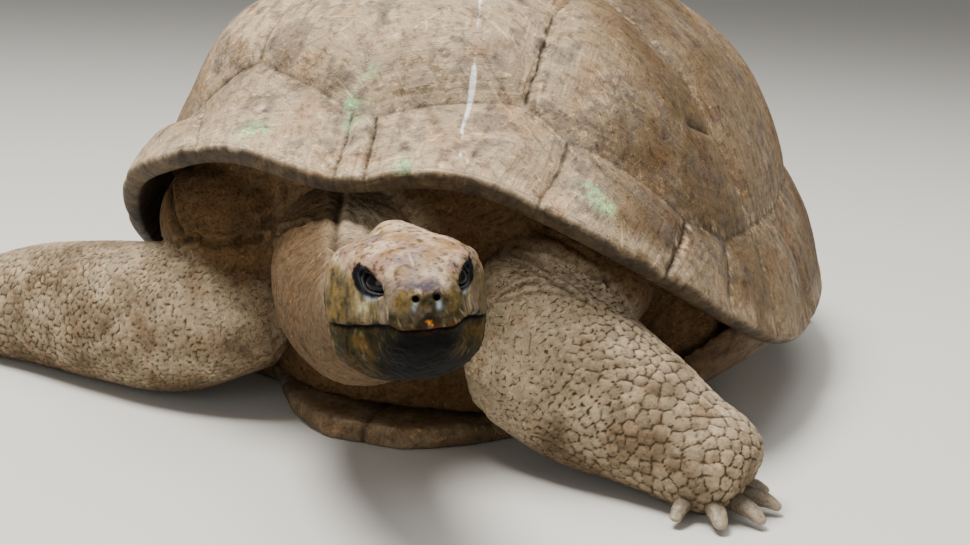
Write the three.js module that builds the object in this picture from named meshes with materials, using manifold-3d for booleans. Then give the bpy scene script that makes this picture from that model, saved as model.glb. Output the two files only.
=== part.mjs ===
// A life-size giant tortoise of the Aldabra kind, resting on its plastron with its forelegs spread and its
// head stretched out low to its own left. Millimetres, +Z up. The animal faces -Y, its left side is +X,
// and the origin is the middle of the plastron's flat underside, on the floor.
import * as THREE from "three";
import { mergeVertices } from "three/addons/utils/BufferGeometryUtils.js";
import Module from "manifold-3d";

const wasm = await Module();
wasm.setup();

// ---------- Driving dimensions ----------
const GAP = 0.3; // left between parts that touch
const SHARPEST_CORNER = 0.3; // limits how far a corner moves when a part is swollen by the gap
const CORNER_STEPS = 12;
const FLOOR = 0;

// The carapace's outer surface passes through rings that run round it between the crown and the rim.
// s is the ring's place on the way from the crown (0) to the rim (1).
const CROWN_HEIGHT = 516;
const SHELL_CENTRE_Y = -90; // the broadest place of the rim
const CROWN_SHIFT_Y = 10; // the crown sits this much further back
const RINGS = [
  { s: 0.3, halfWidth: 118, front: 180, rear: 207, zFront: 503, zSide: 490, zRear: 495 },
  { s: 0.58, halfWidth: 267, front: 312, rear: 402, zFront: 430, zSide: 380, zRear: 404 },
  { s: 0.82, halfWidth: 363, front: 368, rear: 546, zFront: 356, zSide: 200, zRear: 258 },
  { s: 1.0, halfWidth: 400, front: 436, rear: 615, zFront: 322, zSide: 103, zRear: 150 },
];
const FRONT_SQUARENESS = 0.86; // superellipse powers of the rings, seen from above
const REAR_SQUARENESS = 0.82;
const HEIGHT_POWER = 1.6; // how fast a ring's height changes from its side to its front or rear
const NECK_DROOP = 18; // the rim hangs this much lower above the neck
const NECK_DROOP_WIDTH = 72;
const RIM_LIFT = 7; // each front marginal's edge turns up between its seams
// The right side bulges over its first costal scute, dips at the seam below it and flares out at the rim.
const RIGHT_BULGE = { at: -50, spread: 22 }; // degrees from straight ahead
const RIGHT_LIFT = [ // [share of the way to the rim, how far it is lifted]
  [0.2, 0], [0.35, 7], [0.5, 15], [0.58, 20], [0.64, 18], [0.7, 8], [0.78, 4], [0.83, 14], [0.88, 27], [1, 31],
];

const WALL = { crown: 10, rim: 15 }; // thickness of the carapace
const LIP = 21; // thickness of the free rim
const LIP_SWELL = 3; // how far the rim's edge bulges between its upper and lower corners
const SEAM_DEPTH = 4.5;
const SEAM_HALF_WIDTH = 7;
const PLATE_RISE = 1.5;
const PILLOW = { vertebral: 12, costal: 13, marginal: 5 }; // how far a scute's middle bulges
const SEAM_STEP = 40; // spacing of the points along a seam

// ---------- Small helpers ----------
const { sin, cos, abs, sign, min, max, round, PI, hypot } = Math;
const rad = THREE.MathUtils.degToRad;
const lerp = THREE.MathUtils.lerp;
const vec = (x, y, z) => new THREE.Vector3(x, y, z);
const power = (value, exponent) => sign(value) * abs(value) ** exponent;
const smooth = (a, b, x) => THREE.MathUtils.smoothstep(x, a, b);

// A repeatable stream of numbers from -1 to 1, so that like pieces vary as the real ones do.
function randomStream(seed) {
  let state = seed;
  return () => {
    state = (state * 1664525 + 1013904223) % 4294967296;
    return (state / 4294967296) * 2 - 1;
  };
}

function geometryOf(points, faces) {
  const geometry = new THREE.BufferGeometry();
  const places = points.flatMap((p) => [p.x, p.y, p.z]);
  geometry.setAttribute("position", new THREE.Float32BufferAttribute(places, 3));
  geometry.setIndex(faces.flat());
  return geometry;
}

// A closed geometry as a solid that can be joined and cut.
function solidOf(geometry) {
  const bare = geometry.clone();
  bare.deleteAttribute("normal");
  bare.deleteAttribute("uv");
  const merged = mergeVertices(bare, 1e-3);
  return new wasm.Manifold(new wasm.Mesh({
    numProp: 3,
    vertProperties: merged.attributes.position.array,
    triVerts: new Uint32Array(merged.index.array),
  }));
}

function readSolid(solid) {
  const data = solid.getMesh();
  const points = [];
  for (let i = 0; i < data.numVert; i++) {
    points.push(vec(...data.vertProperties.subarray(i * data.numProp, i * data.numProp + 3)));
  }
  const faces = [];
  for (let i = 0; i < data.triVerts.length; i += 3) faces.push([...data.triVerts.subarray(i, i + 3)]);
  return { points, faces };
}

// The solid with its skin moved out by the gap, used to cut a neighbour clear of it. Each corner moves
// the way that lies most nearly ahead of all its faces, and far enough for each face to move by the gap.
function swollen(solid, gap = GAP * 1.2) {
  const { points, faces } = readSolid(solid);
  const facing = points.map(() => []);
  for (const face of faces) {
    const normal = new THREE.Triangle(...face.map((i) => points[i])).getNormal(vec(0, 0, 0));
    face.forEach((i) => facing[i].push(normal));
  }
  const moved = points.map((p, i) => {
    const outward = facing[i].reduce((sum, normal) => sum.add(normal), vec(0, 0, 0)).normalize();
    const leastFaced = () => facing[i].reduce((worst, n) => (n.dot(outward) < worst.dot(outward) ? n : worst));
    for (let step = 1; step <= CORNER_STEPS; step++) {
      outward.addScaledVector(leastFaced(), 0.5 / step).normalize();
    }
    return p.clone().addScaledVector(outward, gap / max(leastFaced().dot(outward), SHARPEST_CORNER));
  });
  return solidOf(geometryOf(moved, faces));
}

const joined = (solids) => solids.reduce((all, next) => all.add(next));
const cutBy = (solid, cutters) => cutters.reduce((left, cutter) => left.subtract(cutter), solid);

// A node keeps only its largest closed surface.
function largest(solid) {
  const bodies = solid.decompose();
  return bodies.reduce((best, body) => (body.volume() > best.volume() ? body : best));
}

function boxSolid(lowest, highest) {
  const size = highest.clone().sub(lowest);
  const centre = lowest.clone().add(highest).multiplyScalar(0.5);
  return solidOf(new THREE.BoxGeometry(size.x, size.y, size.z).translate(centre.x, centre.y, centre.z));
}

// A value that passes smoothly through stations [place, value, value, ...].
function profile(stations) {
  return (place, column = 1) => {
    const last = stations.length - 1;
    let i = 0;
    while (i < last - 1 && place > stations[i + 1][0]) i++;
    const at = (k) => stations[min(max(k, 0), last)];
    const [p0, p1, p2, p3] = [at(i - 1), at(i), at(i + 1), at(i + 2)];
    const t = min(max((place - p1[0]) / (p2[0] - p1[0]), 0), 1);
    const span = p2[0] - p1[0];
    const m1 = ((p2[column] - p0[column]) / max(p2[0] - p0[0], 1e-6)) * span;
    const m2 = ((p3[column] - p1[column]) / max(p3[0] - p1[0], 1e-6)) * span;
    return (2 * t ** 3 - 3 * t ** 2 + 1) * p1[column] + (t ** 3 - 2 * t ** 2 + t) * m1
      + (3 * t ** 2 - 2 * t ** 3) * p2[column] + (t ** 3 - t ** 2) * m2;
  };
}

// A closed skin over rings of equally many points, with a fan at each end.
function loft(rings) {
  const count = rings[0].length;
  const middle = (ring) => ring.reduce((sum, p) => sum.add(p), vec(0, 0, 0)).divideScalar(count);
  const points = [...rings.flat(), middle(rings[0]), middle(rings.at(-1))];
  const faces = [];
  rings.slice(1).forEach((_, r) => {
    for (let i = 0; i < count; i++) {
      const j = (i + 1) % count;
      const [a, b, c, d] = [r * count + i, r * count + j, (r + 1) * count + i, (r + 1) * count + j];
      faces.push([a, b, d], [a, d, c]);
    }
  });
  const first = rings.length * count;
  const lastRing = (rings.length - 1) * count;
  for (let i = 0; i < count; i++) {
    const j = (i + 1) % count;
    faces.push([first, j, i], [first + 1, lastRing + i, lastRing + j]);
  }
  const solid = solidOf(geometryOf(points, faces));
  return solid.volume() > 0 ? solid : solidOf(geometryOf(points, faces.map(([a, b, c]) => [a, c, b])));
}

// A limb: a rounded section that follows a curve. Each station is [x, y, z, half width, half height], and
// the half height is measured upwards as nearly as the curve allows.
function limb(stations, { steps, sides, roundness = 1, upward = vec(0, 0, 1) }) {
  const path = new THREE.CatmullRomCurve3(stations.map(([x, y, z]) => vec(x, y, z)), false, "centripetal");
  const sizes = profile(stations.map(([, , , w, h], i) => [i / (stations.length - 1), w, h]));
  const rings = [];
  for (let k = 0; k <= steps; k++) {
    const t = k / steps;
    const forward = path.getTangent(t);
    const side = forward.clone().cross(upward).normalize();
    const up = side.clone().cross(forward).normalize();
    const centre = path.getPoint(t);
    rings.push(Array.from({ length: sides }, (_, i) => {
      const angle = (i / sides) * 2 * PI;
      return centre.clone()
        .addScaledVector(side, sizes(t, 1) * power(cos(angle), roundness))
        .addScaledVector(up, sizes(t, 2) * power(sin(angle), roundness));
    }));
  }
  return loft(rings);
}

function ball(centre, radii, sides = 16) {
  const geometry = new THREE.SphereGeometry(1, sides, round(sides * 0.6));
  return solidOf(geometry.scale(radii.x, radii.y, radii.z).translate(centre.x, centre.y, centre.z));
}

// ---------- Carapace surface ----------
const rightLift = profile(RIGHT_LIFT);

function ringPoint(ring, angle) {
  const ahead = cos(angle) > 0;
  const squareness = ahead ? FRONT_SQUARENESS : REAR_SQUARENESS;
  const forward = abs(cos(angle));
  const reach = ahead ? -ring.front : ring.rear;
  return vec(
    ring.halfWidth * power(sin(angle), squareness),
    SHELL_CENTRE_Y + CROWN_SHIFT_Y * (1 - ring.s) + reach * forward ** squareness,
    lerp(ring.zSide, ahead ? ring.zFront : ring.zRear, forward ** HEIGHT_POWER),
  );
}

// The carapace at an angle from straight ahead (left is positive) and at the share s from crown to rim.
function shellPoint(angle, s) {
  const crown = vec(0, SHELL_CENTRE_Y + CROWN_SHIFT_Y, CROWN_HEIGHT);
  const through = [crown, ...RINGS.map((ring) => ringPoint(ring, angle))];
  const places = [0, ...RINGS.map((ring) => ring.s)];
  const beforeCrown = crown.clone().multiplyScalar(2).sub(through[1]).setZ(through[1].z);
  const beyondRim = through.at(-1).clone().multiplyScalar(2).sub(through.at(-2));
  through.unshift(beforeCrown);
  through.push(beyondRim);
  places.unshift(-RINGS[0].s);
  places.push(2 - RINGS.at(-2).s);
  let i = 1;
  while (i < RINGS.length && s > places[i + 1]) i++;
  const [p0, p1, p2, p3] = through.slice(i - 1, i + 3);
  const [s0, s1, s2, s3] = places.slice(i - 1, i + 3);
  const t = (s - s1) / (s2 - s1);
  const m1 = p2.clone().sub(p0).multiplyScalar((s2 - s1) / (s2 - s0));
  const m2 = p3.clone().sub(p1).multiplyScalar((s2 - s1) / (s3 - s1));
  const point = p1.clone().multiplyScalar(2 * t ** 3 - 3 * t ** 2 + 1)
    .addScaledVector(m1, t ** 3 - 2 * t ** 2 + t)
    .addScaledVector(p2, 3 * t ** 2 - 2 * t ** 3)
    .addScaledVector(m2, t ** 3 - t ** 2);
  if (cos(angle) > 0) {
    const nearRim = smooth(0.76, 1, s);
    point.z -= NECK_DROOP * nearRim * Math.exp(-((point.x / NECK_DROOP_WIDTH) ** 2));
    point.z += RIM_LIFT * nearRim * Math.exp(-(((abs(point.x) - 150) / 70) ** 2));
    const offBulge = (rad(RIGHT_BULGE.at) - angle) / rad(RIGHT_BULGE.spread);
    point.z += rightLift(s) * Math.exp(-(offBulge ** 2));
  }
  return point;
}

function shellNormal(angle, s) {
  const da = 0.01;
  const ds = 0.01;
  const place = max(s, 0.02);
  const around = shellPoint(angle + da, place).sub(shellPoint(angle - da, place));
  const outward = shellPoint(angle, min(place + ds, 1)).sub(shellPoint(angle, place - ds));
  return outward.cross(around).normalize();
}

// Seams are straight lines on a flat disc whose centre is the crown and whose edge is the rim.
const toDisc = ([degrees, s]) => new THREE.Vector2(s * sin(rad(degrees)), s * cos(rad(degrees)));
const onShell = (disc, rise) => {
  const angle = Math.atan2(disc.x, disc.y);
  const s = min(disc.length(), 1);
  return shellPoint(angle, s).addScaledVector(shellNormal(angle, s), rise);
};

// ---------- Scutes ----------
// Seam junctions on the left side as [degrees from straight ahead, share of the way to the rim].
const MARGINAL_SEAMS = [1.5, 27, 48, 62, 77, 93, 108, 121, 134, 146, 157, 169];
const MARGINAL_TOPS = [
  [1.2, 0.82], [30.4, 0.77], [53, 0.845], [63, 0.84], [77, 0.79], [93, 0.775], [109, 0.775], [122, 0.78],
  [135, 0.79], [147, 0.8], [158, 0.82], [169, 0.84],
];
const INNER_JUNCTIONS = {
  v1c1m: [25.3, 0.724], v1v2c1: [38, 0.48], c1c2v2: [70, 0.36], v2v3c2: [86, 0.25],
  c2c3v3: [104, 0.36], v3v4c3: [133, 0.37], c3c4v4: [139, 0.52], v4v5c4: [153, 0.56], v5c4m: [164, 0.82],
};
// The right side's junctions that lie elsewhere
const RIGHT_SPOTS = { rim1: [20.2, 1], top1: [39.4, 0.749], v1c1m: [25, 0.682] };
const SIDES = { left: 1, right: -1 };
const SEAM_WANDER = { degrees: 0.9, s: 0.007 };
const NUCHAL_SHIFT = 1.7; // degrees that the small plate above the neck leans off the middle, to the left

function junctions() {
  const wander = randomStream(11);
  const placed = {};
  for (const [side, turn] of Object.entries(SIDES)) {
    const place = (name, usual) => {
      const [degrees, s] = (side === "right" && RIGHT_SPOTS[name]) || usual;
      const onRim = s === 1;
      const besideNuchal = degrees < 5;
      const moved = turn * (degrees + wander() * (besideNuchal ? 0 : SEAM_WANDER.degrees));
      const shift = besideNuchal && onRim ? NUCHAL_SHIFT : 0;
      placed[`${side}_${name}`] = toDisc([moved + shift, onRim ? 1 : s + wander() * SEAM_WANDER.s]);
    };
    MARGINAL_SEAMS.forEach((degrees, i) => {
      place(`rim${i}`, [degrees, 1]);
      place(`top${i}`, MARGINAL_TOPS[i]);
    });
    for (const [name, spot] of Object.entries(INNER_JUNCTIONS)) place(name, spot);
  }
  return placed;
}

// Each scute as the loop of junctions round it.
function scuteLoops() {
  const loops = [];
  const both = (names) => [...names.map((n) => `left_${n}`), ...names.toReversed().map((n) => `right_${n}`)];
  loops.push({ kind: "marginal", names: both(["rim0", "top0"]) });
  loops.push({ kind: "marginal", names: both(["rim11", "top11"]) });
  loops.push({ kind: "vertebral", names: both(["top0", "v1c1m", "v1v2c1"]) });
  loops.push({ kind: "vertebral", names: both(["v1v2c1", "c1c2v2", "v2v3c2"]) });
  loops.push({ kind: "vertebral", names: both(["v2v3c2", "c2c3v3", "v3v4c3"]) });
  loops.push({ kind: "vertebral", names: both(["v3v4c3", "c3c4v4", "v4v5c4"]) });
  loops.push({ kind: "vertebral", names: both(["v4v5c4", "v5c4m", "top11"]) });
  const oneSide = [
    ["costal", ["v1v2c1", "v1c1m", "top1", "top2", "top3", "top4", "c1c2v2"]],
    ["costal", ["c1c2v2", "top4", "top5", "top6", "c2c3v3", "v2v3c2"]],
    ["costal", ["c2c3v3", "top6", "top7", "top8", "c3c4v4", "v3v4c3"]],
    ["costal", ["c3c4v4", "top8", "top9", "top10", "v5c4m", "v4v5c4"]],
    ["marginal", ["top0", "rim0", "rim1", "top1", "v1c1m"]],
    ["marginal", ["top10", "rim10", "rim11", "top11", "v5c4m"]],
  ];
  for (let i = 1; i < 10; i++) oneSide.push(["marginal", [`top${i}`, `rim${i}`, `rim${i + 1}`, `top${i + 1}`]]);
  for (const side of Object.keys(SIDES)) {
    for (const [kind, names] of oneSide) loops.push({ kind, names: names.map((n) => `${side}_${n}`) });
  }
  return loops;
}

const INNER_ROWS = [0.84, 0.64, 0.38];
const RING_SHARES = { vertebral: [0.25, 0.6], costal: [0.25, 0.6], marginal: [0.5] };

// Every point of the outer edge is kept with its angle, for the parts that fit inside the shell.
const rimAngles = [];

function carapaceGeometry() {
  const points = [];
  const faces = [];
  const add = (point) => points.push(point) - 1;
  const placed = junctions();
  const isRim = (disc) => disc.length() > 0.9999;
  const corner = {};
  const rimPoints = []; // every point of the outer edge, with its angle
  const addSeamPoint = (disc) => {
    const index = add(onShell(disc, isRim(disc) ? 0 : -SEAM_DEPTH));
    if (isRim(disc)) rimPoints.push({ index, angle: Math.atan2(disc.x, disc.y) });
    return index;
  };
  for (const [name, disc] of Object.entries(placed)) corner[name] = { disc, index: addSeamPoint(disc) };

  // Points strictly between two junctions, shared by the scutes on both sides of the seam.
  const seams = {};
  function seam(a, b) {
    const key = [a, b].sort().join("|");
    if (!seams[key]) {
      const [from, to] = key.split("|").map((name) => corner[name].disc);
      const alongRim = isRim(from) && isRim(to);
      const length = onShell(from, 0).distanceTo(onShell(to, 0));
      const count = max(1, round(length / SEAM_STEP));
      seams[key] = [];
      for (let k = 1; k < count; k++) {
        const disc = from.clone().lerp(to, k / count);
        if (alongRim) disc.normalize();
        seams[key].push({ disc, index: addSeamPoint(disc) });
      }
    }
    return a < b ? seams[key] : seams[key].toReversed();
  }

  for (const { kind, names } of scuteLoops()) {
    const border = names.flatMap((name, i) => [corner[name], ...seam(name, names[(i + 1) % names.length])]);
    const middle = border.reduce((sum, b) => sum.add(b.disc), new THREE.Vector2()).divideScalar(border.length);
    const centre = onShell(middle, 0);
    const after = (i) => border[(i + 1) % border.length];
    const turns = border.reduce((area, b, i) => area + b.disc.cross(after(i).disc), 0) > 0;
    const face = (a, b, c) => faces.push(turns ? [a, c, b] : [a, b, c]);
    let outer = border.map((b) => b.index);
    const ringAt = (shareOf, rise) => border.map((b) => {
      const share = shareOf(b);
      return add(onShell(b.disc.clone().lerp(middle, share), rise));
    });
    const seamShare = (b) => SEAM_HALF_WIDTH / onShell(b.disc, 0).distanceTo(centre);
    const rings = [ringAt(seamShare, PLATE_RISE)];
    for (const share of RING_SHARES[kind]) {
      rings.push(ringAt(() => share, PLATE_RISE + PILLOW[kind] * share ** 0.7));
    }
    for (const inner of rings) {
      inner.forEach((_, i) => {
        const j = (i + 1) % inner.length;
        face(outer[i], outer[j], inner[j]);
        face(outer[i], inner[j], inner[i]);
      });
      outer = inner;
    }
    const top = add(onShell(middle, PLATE_RISE + PILLOW[kind]));
    outer.forEach((_, i) => face(outer[i], outer[(i + 1) % outer.length], top));
  }

  // The free edge turns under, and the inner surface runs back up to the crown.
  rimPoints.sort((a, b) => a.angle - b.angle);
  rimAngles.push(...rimPoints.map((p) => p.angle));
  let outer = rimPoints.map((p) => p.index);
  const underRim = (angle, depth) => shellPoint(angle, 1).addScaledVector(shellNormal(angle, 1), -depth);
  const innerRows = [
    ({ angle }) => underRim(angle, LIP / 2).addScaledVector(edgeOut(angle), LIP_SWELL),
    ({ angle }) => underRim(angle, LIP),
    ...INNER_ROWS.map((s) => ({ angle }) => innerPoint(angle, s)),
  ];
  for (const row of innerRows) {
    const inner = rimPoints.map((p) => add(row(p)));
    inner.forEach((_, i) => {
      const j = (i + 1) % inner.length;
      faces.push([outer[i], inner[i], inner[j]], [outer[i], inner[j], outer[j]]);
    });
    outer = inner;
  }
  const top = add(innerPoint(0, 0));
  outer.forEach((_, i) => faces.push([outer[i], top, outer[(i + 1) % outer.length]]));
  return geometryOf(points, faces);
}

function edgeOut(angle) {
  return shellPoint(angle, 1).sub(shellPoint(angle, 0.97)).normalize();
}

function innerPoint(angle, s, extra = 0) {
  return shellPoint(angle, s).addScaledVector(shellNormal(angle, s), -(lerp(WALL.crown, WALL.rim, s) + extra));
}

const carapace = solidOf(carapaceGeometry());
const floorBlock = boxSolid(vec(-2000, -2000, -500), vec(2000, 2000, FLOOR));

// ---------- Plastron ----------
const PLASTRON = {
  thickness: 26,
  wallThickness: 44, // measured upright, where the bridge climbs to the carapace
  flatHalfWidth: 236,
  bridge: { front: -235, rear: 130, blend: 62 },
  sinkIntoRim: { in: 13, down: 2 },
};
// [y, half width of the flat plate where no bridge widens it]
const plastronOutline = profile([
  [-428, 48], [-405, 84], [-360, 128], [-290, 168], [-180, 205], [60, 205],
  [170, 192], [260, 184], [340, 158], [392, 112], [412, 84],
]);
const PLASTRON_STATIONS = [
  -428, -412, -380, -330, -290, -262, -235, -200, -150, -90, -30, 40,
  90, 130, 160, 190, 240, 300, 350, 388, 412,
];
const PLASTRON_COLUMNS = [0, 0.22, 0.45, 0.62, 0.76, 0.88, 0.96, 1];
const ANAL_NOTCH = { depth: 26, halfWidth: 46 };

// The rim's outer edge, on the left side, at a given y.
function rimAt(y) {
  let [low, high] = [0, PI];
  for (let i = 0; i < 40; i++) {
    const middle = (low + high) / 2;
    if (shellPoint(middle, 1).y < y) low = middle;
    else high = middle;
  }
  return shellPoint(low, 1);
}

// 1 where a bridge joins the plastron to the carapace, and 0 beside the openings for the legs.
function bridging(y) {
  const { front, rear, blend } = PLASTRON.bridge;
  return smooth(front - blend, front, y) * (1 - smooth(rear, rear + blend, y));
}

// The height of the bridge's underside, at a share of the way from the flat plate to the rim.
const bridgeUnder = (climb, rim) => climb ** 1.25 * (rim.z - PLASTRON.sinkIntoRim.down);

function plastronSolid() {
  const { flatHalfWidth, sinkIntoRim } = PLASTRON;
  const columns = [...PLASTRON_COLUMNS.slice(1).toReversed().map((u) => -u), ...PLASTRON_COLUMNS];
  const spots = PLASTRON_STATIONS.map((y) => {
    const rim = rimAt(y);
    const share = bridging(y);
    const width = lerp(plastronOutline(y), rim.x - sinkIntoRim.in, share);
    return columns.map((u) => {
      const x = u * width;
      const climb = max(0, (abs(x) - flatHalfWidth) / (width - flatHalfWidth || 1)) * share;
      const under = bridgeUnder(climb, rim) + 7 * smooth(0.95, 1, abs(u)) * (1 - share);
      const thick = lerp(PLASTRON.thickness, PLASTRON.wallThickness, climb);
      const thinned = 1 - 0.35 * smooth(0.9, 1, abs(u)) * (1 - share);
      const notch = ANAL_NOTCH.depth * smooth(340, 412, y) * max(0, 1 - abs(x) / ANAL_NOTCH.halfWidth);
      return { x, y: y - notch, under: FLOOR + under, over: FLOOR + under + thick * thinned };
    });
  });
  const points = spots.flatMap((row) => row.flatMap((p) => [vec(p.x, p.y, p.under), vec(p.x, p.y, p.over)]));
  const count = columns.length;
  const at = (row, column, upper) => (row * count + column) * 2 + upper;
  const faces = [];
  const quad = (a, b, c, d) => faces.push([a, b, c], [a, c, d]);
  for (let row = 0; row + 1 < spots.length; row++) {
    for (let i = 0; i + 1 < count; i++) {
      quad(at(row, i, 0), at(row + 1, i, 0), at(row + 1, i + 1, 0), at(row, i + 1, 0));
      quad(at(row, i, 1), at(row, i + 1, 1), at(row + 1, i + 1, 1), at(row + 1, i, 1));
    }
    quad(at(row, 0, 0), at(row, 0, 1), at(row + 1, 0, 1), at(row + 1, 0, 0));
    quad(at(row, count - 1, 0), at(row + 1, count - 1, 0), at(row + 1, count - 1, 1), at(row, count - 1, 1));
  }
  const last = spots.length - 1;
  for (let i = 0; i + 1 < count; i++) {
    quad(at(0, i, 0), at(0, i + 1, 0), at(0, i + 1, 1), at(0, i, 1));
    quad(at(last, i, 0), at(last, i, 1), at(last, i + 1, 1), at(last, i + 1, 0));
  }
  return solidOf(geometryOf(points, faces));
}

const plastronWhole = plastronSolid(); // its bridges still run into the carapace
const plastron = plastronWhole.subtract(swollen(carapace));

// ---------- Torso ----------
// The flesh fills the shell. Its skin leaves the inside of the carapace a little way in from the rim and
// drops, folding inwards, to the plastron.
const TORSO_TOP = INNER_ROWS;
const TORSO_WALL = [
  { acrossX: 0.9, front: 0.93, rear: 0.97, height: 0.8 },
  { acrossX: 0.79, front: 0.87, rear: 0.94, height: 0.48 },
  { acrossX: 0.69, front: 0.83, rear: 0.9, height: 0.22 },
  { acrossX: 0.6, front: 0.8, rear: 0.86, height: 0 },
];
const TORSO_BASE_HEIGHT = 12; // sunk in the plastron, then cut clear of it
const SHOULDERS = [
  { at: vec(-178, -350, 205), radii: vec(104, 88, 84) },
  { at: vec(182, -345, 190), radii: vec(96, 80, 80) },
];

// How far out the inside of the bridge stands at a height, beside the place y along the shell.
function bridgeInside(y, z) {
  const { flatHalfWidth, thickness, wallThickness, sinkIntoRim } = PLASTRON;
  const rim = rimAt(y);
  let [low, high] = [0, 1];
  for (let i = 0; i < 20; i++) {
    const climb = (low + high) / 2;
    if (bridgeUnder(climb, rim) + lerp(thickness, wallThickness, climb) < z) low = climb;
    else high = climb;
  }
  return lerp(flatHalfWidth, rim.x - sinkIntoRim.in, low);
}

function torsoSolid() {
  const skin = (s) => rimAngles.map((angle) => innerPoint(angle, s, GAP));
  const edge = skin(TORSO_TOP[0]);
  const walls = TORSO_WALL.map(({ acrossX, front, rear, height }) => edge.map((p) => {
    const z = lerp(TORSO_BASE_HEIGHT, p.z, height);
    const y = SHELL_CENTRE_Y + (p.y - SHELL_CENTRE_Y) * (p.y < SHELL_CENTRE_Y ? front : rear);
    const besideBridge = min(bridgeInside(y, z) - 3, abs(p.x) * 0.985);
    return vec(sign(p.x) * lerp(abs(p.x) * acrossX, besideBridge, bridging(y)), y, z);
  }));
  const trunk = loft([...walls.toReversed(), ...TORSO_TOP.map(skin)]);
  const clearOfShell = swollen(carapace);
  const shoulders = SHOULDERS.map(({ at, radii }) => largest(ball(at, radii, 14).subtract(clearOfShell)));
  return joined([trunk, ...shoulders]);
}

const torsoWhole = torsoSolid(); // its underside is still sunk in the plastron
const torso = torsoWhole.subtract(swollen(plastronWhole));

// ---------- Head ----------
// The head is shaped looking along -Y at its own origin, between the cheeks, and is then turned and placed.
const HEAD = { at: vec(203, -806, 268), yaw: 31, pitch: 9, roll: 4.5 }; // its left side is held higher
const headPlace = new THREE.Matrix4().makeTranslation(HEAD.at.x, HEAD.at.y, HEAD.at.z)
  .multiply(new THREE.Matrix4().makeRotationZ(rad(HEAD.yaw)))
  .multiply(new THREE.Matrix4().makeRotationX(rad(-HEAD.pitch)))
  .multiply(new THREE.Matrix4().makeRotationY(rad(-HEAD.roll)));
// [y, half width, top, throat, height of the crest that runs back along the middle of the crown]
const HEAD_STATIONS = [
  [-84, 9, 6, -12, 0], [-82, 19, 14, -22, 0], [-76, 25, 21, -31, 0], [-65, 29, 28, -40, 0],
  [-52, 32, 36, -47, 0], [-40, 37, 41, -52, 0], [-25, 48, 45, -57, 2], [-5, 57, 46, -60, 6],
  [20, 61, 42, -63, 14], [45, 58, 37, -63, 22], [78, 50, 28, -61, 26],
];
const HEAD_RING = 24;
const HEAD_SQUARENESS = { upper: 0.54, lower: 0.8 };
const CORNER_EVENING = 0.12; // spreads the points of a squarish ring evenly
const CREST_WIDTH = 26;
const MOUTH_Y_CORNER = 10;
const MOUTH_GAP = 1.2;
const EYE = { centre: vec(25, -38, 16.5), radius: 12.5, axis: vec(0.73, -0.66, 0.2).normalize() };
const SOCKET = { radius: 14, out: 17.5 }; // the bowl round each eye, which sets it a little deep
const LID = { ring: 11, tube: 3.4, out: 7.6 };
const BROW = { at: vec(31, -35, 28.5), radii: vec(11, 16, 7.5) };
const NOSTRIL = { at: vec(7.6, -81, 9), radius: 3.2 };
const TYMPANUM = { at: vec(59, 26, -2), radii: vec(4, 13, 14) };

function headShape() {
  return loft(HEAD_STATIONS.map(([y, width, top, throat, crest]) => {
    const middle = (top + throat) / 2;
    const half = (top - throat) / 2;
    return Array.from({ length: HEAD_RING }, (_, i) => {
      const even = (i / HEAD_RING) * 2 * PI;
      const angle = even - CORNER_EVENING * sin(4 * even);
      const squareness = sin(angle) > 0 ? HEAD_SQUARENESS.upper : HEAD_SQUARENESS.lower;
      const x = width * power(cos(angle), squareness);
      const ridge = crest * Math.exp(-((x / CREST_WIDTH) ** 2)) * smooth(0, 0.5, sin(angle));
      return vec(x, y, middle + half * power(sin(angle), squareness) + ridge);
    });
  }));
}

// What lies below the line of the mouth, wide enough to cut right across the head.
function mouthBlock(lower) {
  const line = [
    [-120, -14], [-82, -13.5], [-74, -11], [-62, -10.5], [-40, -12.5], [-15, -14], [MOUTH_Y_CORNER, -14.5],
  ];
  const shape = new THREE.Shape();
  shape.moveTo(-120, -140);
  line.forEach(([y, z]) => shape.lineTo(y, z - lower));
  shape.lineTo(MOUTH_Y_CORNER - lower * 0.4, -140);
  shape.closePath();
  const block = new THREE.ExtrudeGeometry(shape, { depth: 200, bevelEnabled: false });
  // The outline's first axis becomes y and its second z; the block is extruded along x.
  block.applyMatrix4(new THREE.Matrix4().makeBasis(vec(0, 1, 0), vec(0, 0, 1), vec(1, 0, 0)));
  return solidOf(block.translate(-100, 0, 0));
}

function placeGeometryOn(axis, centre, out) {
  const turn = new THREE.Quaternion().setFromUnitVectors(vec(0, 0, 1), axis);
  return new THREE.Matrix4().compose(centre.clone().addScaledVector(axis, out), turn, vec(1, 1, 1));
}

const mirrored = (v, side) => vec(v.x * side, v.y, v.z);

function lid(side) {
  const ring = new THREE.TorusGeometry(LID.ring, LID.tube, 6, 16);
  const place = placeGeometryOn(mirrored(EYE.axis, side), mirrored(EYE.centre, side), LID.out);
  return solidOf(ring.applyMatrix4(place));
}

const evenRadii = (radius) => vec(radius, radius, radius);

function socket(side) {
  const centre = EYE.centre.clone().addScaledVector(EYE.axis, SOCKET.out);
  return ball(mirrored(centre, side), evenRadii(SOCKET.radius), 14);
}

const brow = (side) => ball(mirrored(BROW.at, side), BROW.radii, 12);

const inHeadFrame = (solid) => {
  const { points, faces } = readSolid(solid);
  return solidOf(geometryOf(points.map((p) => p.applyMatrix4(headPlace)), faces));
};

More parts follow.
